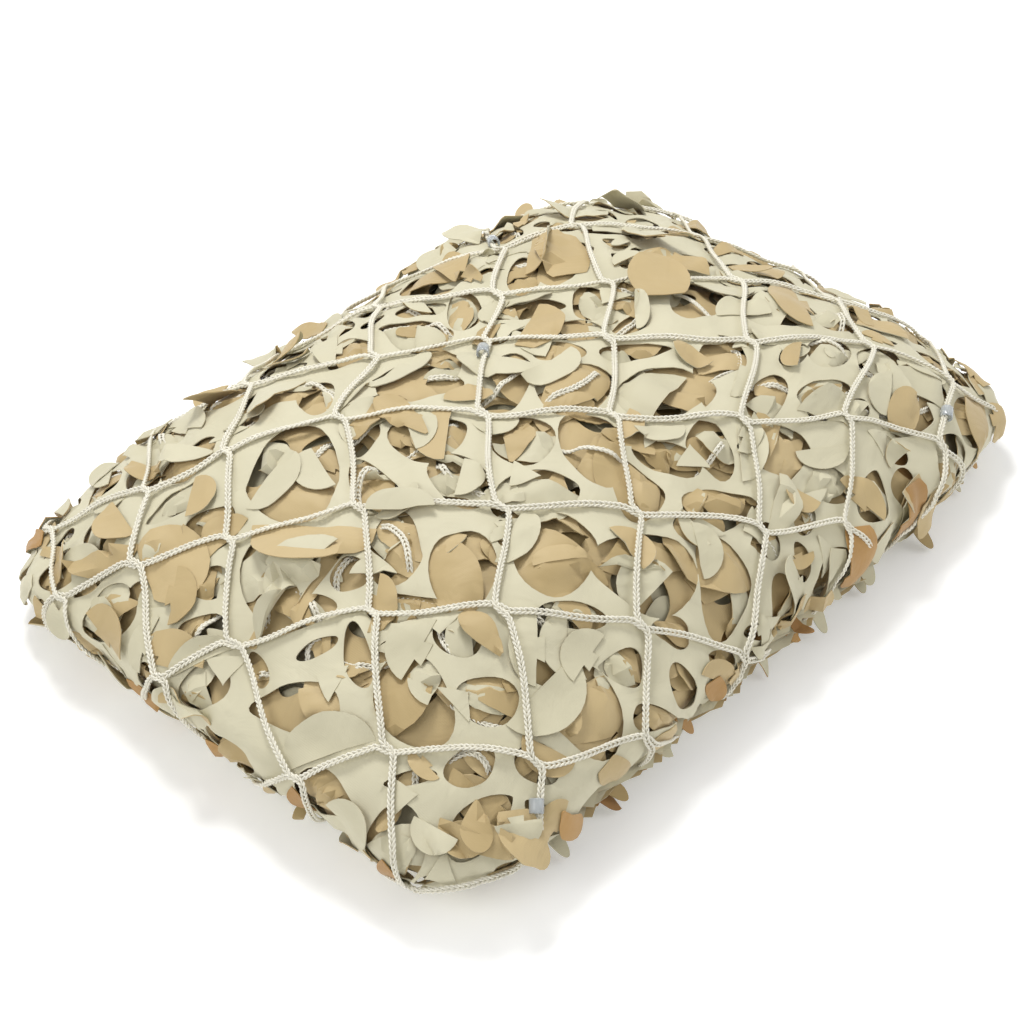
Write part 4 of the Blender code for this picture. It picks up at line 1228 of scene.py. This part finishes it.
def makeFoldedLayers():
    draw = random.Random(folds["seed"])
    panel = 2.0 * (bundle["halfLength"] - folds["endRoom"])
    unit = panel + folds["foldArc"]
    strip = folds["layers"] * panel + (folds["layers"] - 1) * folds["foldArc"]
    half = bundle["halfWidth"]
    under = []
    for i in range(8):
        for j in range(5):
            place = (0.05 + 0.072 * i + 0.03 * (j % 2), -0.15 + 0.075 * j)
            if place[0] < panel - 0.04:
                under.append(openingAt(place, (1, 0), (0, 1), draw.uniform(0.017, 0.024),
                                       draw.uniform(0.013, 0.019), draw.uniform(0, 3.1), draw))
    body = bmesh.new()
    bmesh.ops.create_grid(body, x_segments=1, y_segments=1, size=1.0)
    for vert in body.verts:
        vert.co = ((vert.co.x + 1.0) * strip / 2, vert.co.y * half, 0.0)
    body = slabWithOpenings(body, under, "garnish_folds")
    for row in folds["rows"]:
        for side in ((-1, 1) if row else (1,)):
            if row < 1.0:
                bmesh.ops.bisect_plane(body, geom=body.verts[:] + body.edges[:] + body.faces[:], dist=1e-6,
                                       plane_co=(0, side * row * half, 0), plane_no=(0, 1, 0))
    for layer in range(folds["layers"]):
        start = layer * unit
        stops = [start + panel * n / folds["columns"] for n in range(folds["columns"] + 1)]
        if layer < folds["layers"] - 1:
            stops += [start + panel + folds["foldArc"] * n / 6 for n in range(1, 6)]
        for stop in stops:
            bmesh.ops.bisect_plane(body, geom=body.verts[:] + body.edges[:] + body.faces[:], dist=1e-6,
                                   plane_co=(stop, 0, 0), plane_no=(1, 0, 0))
    bmesh.ops.triangulate(body, faces=body.faces)
    layers = newLayers(body)
    for face in body.faces:
        middle = face.calc_center_median()
        isHidden = abs(middle.y) < 0.8 * half
        # every third layer shows the ochre side along the edges: painted light shining through the cloth
        face.material_index = paleUp if middle.x < unit or isHidden else ochreUp if int(middle.x / unit) % 3 == 2 else paleUp
    for vert in body.verts:
        vert[layers["tone_and_depth_shade"]] = 0.25
        edge = abs(vert.co.y) / half
        if edge > 0.93:
            wave = math.sin(vert.co.x * 2 * math.pi / 0.034) * math.sin(vert.co.x * 41.0 + 1.3)
            vert.co.y += math.copysign(folds["scallop"] * wave * (edge - 0.93) / 0.07, vert.co.y)
    for layer in range(3, folds["layers"]):
        heading = 1.0 if layer % 2 == 0 else -1.0
        for side in (-1, 1):
            for n in range(folds["flapsPerSide"]):
                s = layer * unit + panel * (n + draw.uniform(0.1, 0.9)) / folds["flapsPerSide"]
                droop = -heading * draw.uniform(30, 75)
                room = 0.3 + 0.7 * layer / (folds["layers"] - 1)
                addLeaf(body, layers, {
                    "place": np.array([s, side * half * draw.uniform(0.90, 0.95)]),
                    "right": np.array([1.0, 0.0]), "down": np.array([0.0, 1.0]),
                    "turn": side * math.pi / 2 + draw.uniform(-0.7, 0.7),
                    "kind": draw.choice(("moon", "axe", "tongue", "petal", "wing")),
                    "length": draw.uniform(0.020, 0.032), "width": draw.uniform(0.010, 0.015),
                    "base": -heading * 0.0006, "start": math.radians(0.3 * droop),
                    "end": math.radians(droop * 1.3 * room) * draw.choice((1, 1, -0.6)),
                    "cup": draw.uniform(-0.003, 0.003), "twist": draw.uniform(-0.003, 0.003),
                    "face": draw.choice((tanUp, ochreUp, ochreUp, paleUp)),
                    "tone_and_depth_shade": draw.uniform(0.0, 0.8), "free": 1.0, "apart": 0.0})
    finishSheet(body, "garnish_folds", stackMap, 0.0007)


# ---- the support net ----

def plait(lines, name, sides, height):
    curve = bpy.data.curves.new(name, "CURVE")
    curve.dimensions = "3D"
    curve.bevel_depth = cordLook["radius"]
    curve.bevel_resolution = sides
    curve.use_fill_caps = True
    for line in lines:
        flat = resample(line["line"], line.get("step", cordLook["step"]))
        count = len(flat)
        lift = line.get("lift", np.full(count, height))
        if len(lift) != count:
            lift = np.interp(np.linspace(0, 1, count), np.linspace(0, 1, len(lift)), lift)
        middle = wrap(np.column_stack([flat, lift]))
        ahead = np.gradient(middle, axis=0)
        ahead /= np.linalg.norm(ahead, axis=1, keepdims=True)
        out = outward(flat[:, 0], flat[:, 1])
        side = np.cross(ahead, out)
        side /= np.linalg.norm(side, axis=1, keepdims=True)
        roll = line.get("roll", 0.0) + 0.5 * np.sin(np.arange(count) * 0.02 + 7.0 * line.get("fixed", 0))
        wide = side * np.cos(roll)[:, None] + out * np.sin(roll)[:, None]
        tall = out * np.cos(roll)[:, None] - side * np.sin(roll)[:, None]
        lengths = np.concatenate([[0.0], np.cumsum(np.linalg.norm(np.diff(middle, axis=0), axis=1))])
        for column, strand in ((-1, 0), (-1, 1), (1, 0), (1, 1)):
            # the columns wind opposite ways, so that their loops meet as a row of V shapes
            turn = 2.0 * math.pi * (lengths / cordLook["period"] + strand / 2.0)
            swing = column * (cordLook["columns"] + cordLook["twist"] * np.cos(turn))
            rise = cordLook["twist"] * np.sin(turn)
            points = middle + wide * swing[:, None] + tall * rise[:, None]
            points[:, 2] = np.maximum(points[:, 2], cordLook["radius"] + bundle["floorGap"])
            spline = curve.splines.new("POLY")
            spline.points.add(count - 1)
            spline.points.foreach_set("co", np.column_stack([points, np.ones(count)]).ravel())
    holder = bpy.data.objects.new(name + "_lines", curve)
    bpy.context.scene.collection.objects.link(holder)
    mesh = evaluated(holder)
    bpy.data.objects.remove(holder, do_unlink=True)
    body = bmesh.new()
    body.from_mesh(mesh)
    bmesh.ops.remove_doubles(body, verts=body.verts, dist=0.00002)
    bmesh.ops.recalc_face_normals(body, faces=body.faces)
    bpy.data.meshes.remove(mesh)
    mesh = meshFrom(body, name)
    mesh.shade_smooth()
    mesh.materials.append(cordFinish)
    cords = bpy.data.objects.new(name, mesh)
    bpy.context.scene.collection.objects.link(cords)
    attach(cords, "root")
    print("cords:", name, len(mesh.polygons), "faces")
    return cords


def makeSupportNet():
    across = [run for run in runs if run["isRow"]]
    along = [run for run in runs if not run["isRow"]]
    first = plait(across, "support_net_across", 0, cordLook["height"])
    second = plait(along, "support_net_along", 0, cordLook["height"] + 0.0006)
    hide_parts("support_net")
    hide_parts("support_net")


def makeInnerCords():
    # stretches of the same net in the layers below, which show in the openings
    draw = random.Random(8)
    lines = []
    for opening in topOpenings:
        reach = rimLengthAt(*opening["place"]) - 0.02
        if draw.random() < 0.55 and np.linalg.norm(opening["place"]) < reach:
            turn = draw.uniform(0, math.pi)
            along = np.array([math.cos(turn), math.sin(turn)])
            over = np.array([-along[1], along[0]])
            half = (opening["halfAcross"] + opening["halfDown"]) * draw.uniform(0.55, 0.75)
            at = np.linspace(-1, 1, 24)
            bow = draw.uniform(-0.016, 0.016)
            line = opening["place"] + over * draw.uniform(-0.008, 0.008) + np.outer(at * half, along) \
                + np.outer(bow * (1 - at ** 2), over)
            lift = -0.0084 + 0.0080 * (1 - at ** 2)
            onLeaf = np.maximum(lift, around(piles[1]["top"], line, np.maximum) + 0.0012)
            lift = lift + (onLeaf - lift) * np.clip((0.9 - np.abs(at)) / 0.2, 0.0, 1.0)
            lift = np.minimum(lift, around(piles[0]["low"], line, np.minimum) - 0.0030)
            lift = soften(lift, 2)
            lines.append({"line": line, "lift": lift, "fixed": len(lines), "step": 0.0012})
    plait(lines, "inner_cords", 0, -0.004)


# ---- clips ----

clipLook = {"inner": 0.0030, "wall": 0.0013, "length": 0.0085, "wrap": math.radians(250), "steps": 14}
# on which column cord, and how many cells down it
clipPlaces = {"clip_a": (5, 6.35), "clip_b": (5, 2.18), "clip_c": (5, -0.18), "clip_d": (9, 2.60)}


def makeClip(name, place):
    column, row = place
    flat = netPlace(column, row)
    ahead = netAxes(column, row)[1]
    spots = np.array([[*flat, cordLook["height"] + 0.0008],
                      [*(flat + ahead * 0.002), cordLook["height"] + 0.0008]])
    wrapped = wrap(spots)
    middle = Vector(wrapped[0])
    axis = Vector(wrapped[1] - wrapped[0]).normalized()
    out = Vector(outward(spots[:1, 0], spots[:1, 1])[0])
    side = axis.cross(out).normalized()
    out = side.cross(axis)
    inner, wall, half = clipLook["inner"], clipLook["wall"], clipLook["length"] / 2
    body = bmesh.new()
    bmesh.ops.create_grid(body, x_segments=1, y_segments=1, size=1.0)
    for vert in body.verts:
        vert.co = (vert.co.x * half, 0.0, inner + wall / 2 + vert.co.y * wall / 2)
    bmesh.ops.bevel(body, geom=body.verts[:], affect="VERTICES", offset=wall * 0.3, segments=2, profile=0.5,
                    material=-1)
    bmesh.ops.rotate(body, cent=(0, 0, 0), matrix=Matrix.Rotation(-clipLook["wrap"] / 2, 3, "X"),
                     verts=body.verts)
    bmesh.ops.spin(body, geom=body.faces[:], cent=(0, 0, 0), axis=(1, 0, 0), angle=clipLook["wrap"],
                   steps=clipLook["steps"], use_duplicate=False)
    frameOf = Matrix((axis, -side, out)).transposed().to_4x4()
    frameOf.translation = middle
    bmesh.ops.transform(body, matrix=frameOf, verts=body.verts)
    bmesh.ops.recalc_face_normals(body, faces=body.faces)
    mesh = meshFrom(body, name + "_moulding")
    mesh.shade_smooth()
    mesh.materials.append(clipFinish)
    clip = bpy.data.objects.new(name + "_moulding", mesh)
    bpy.context.scene.collection.objects.link(clip)
    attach(clip, "root")
    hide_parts(name)


# ---- studio ----

def makeStudio():
    floor = bmesh.new()
    bmesh.ops.create_grid(floor, x_segments=1, y_segments=1, size=6.0)
    mesh = meshFrom(floor, "studio_floor")
    finish, _, shader = newMaterial("studio_white")
    shader.inputs["Base Color"].default_value = linear("F6F6F5")
    shader.inputs["Roughness"].default_value = 0.9
    shader.inputs["Emission Color"].default_value = (1.0, 1.0, 1.0, 1.0)
    shader.inputs["Emission Strength"].default_value = 0.20
    mesh.materials.append(finish)
    ground = bpy.data.objects.new("studio_floor", mesh)
    bpy.context.scene.collection.objects.link(ground)
    world = bpy.data.worlds.new("studio")
    world.use_nodes = True
    backdrop = next(node for node in world.node_tree.nodes if node.type == "BACKGROUND")
    backdrop.inputs["Color"].default_value = (1.0, 1.0, 1.0, 1.0)
    backdrop.inputs["Strength"].default_value = 0.54
    bpy.context.scene.world = world
    bpy.context.scene.view_settings.view_transform = "Standard"
    for name, place, size, power in (("key", (0.35, 0.75, 1.75), 0.55, 23.5),
                                     ("side", (-1.5, 0.2, 1.2), 0.9, 8.0),
                                     ("front", (0.8, -1.5, 1.3), 1.2, 8.0)):
        light = bpy.data.lights.new(name, "AREA")
        light.size = size
        light.energy = power
        lamp = bpy.data.objects.new(name, light)
        lamp.location = place
        lamp.rotation_euler = (-Vector(place)).to_track_quat("-Z", "Y").to_euler()
        bpy.context.scene.collection.objects.link(lamp)


cordFinish = cordMaterial()
clipFinish = plasticMaterial()
openings, pile = makeTopSheet()
piles = [pile]
topOpenings, level = openings, 0.0
for settings in underSheets:
    openings, pile = makeUnderSheet(settings, openings, level, pile)
    piles.append(pile)
    level = settings["level"]
makeFoldedLayers()
makeSupportNet()
makeInnerCords()
for clipName, clipPlace in clipPlaces.items():
    makeClip(clipName, clipPlace)
makeStudio()
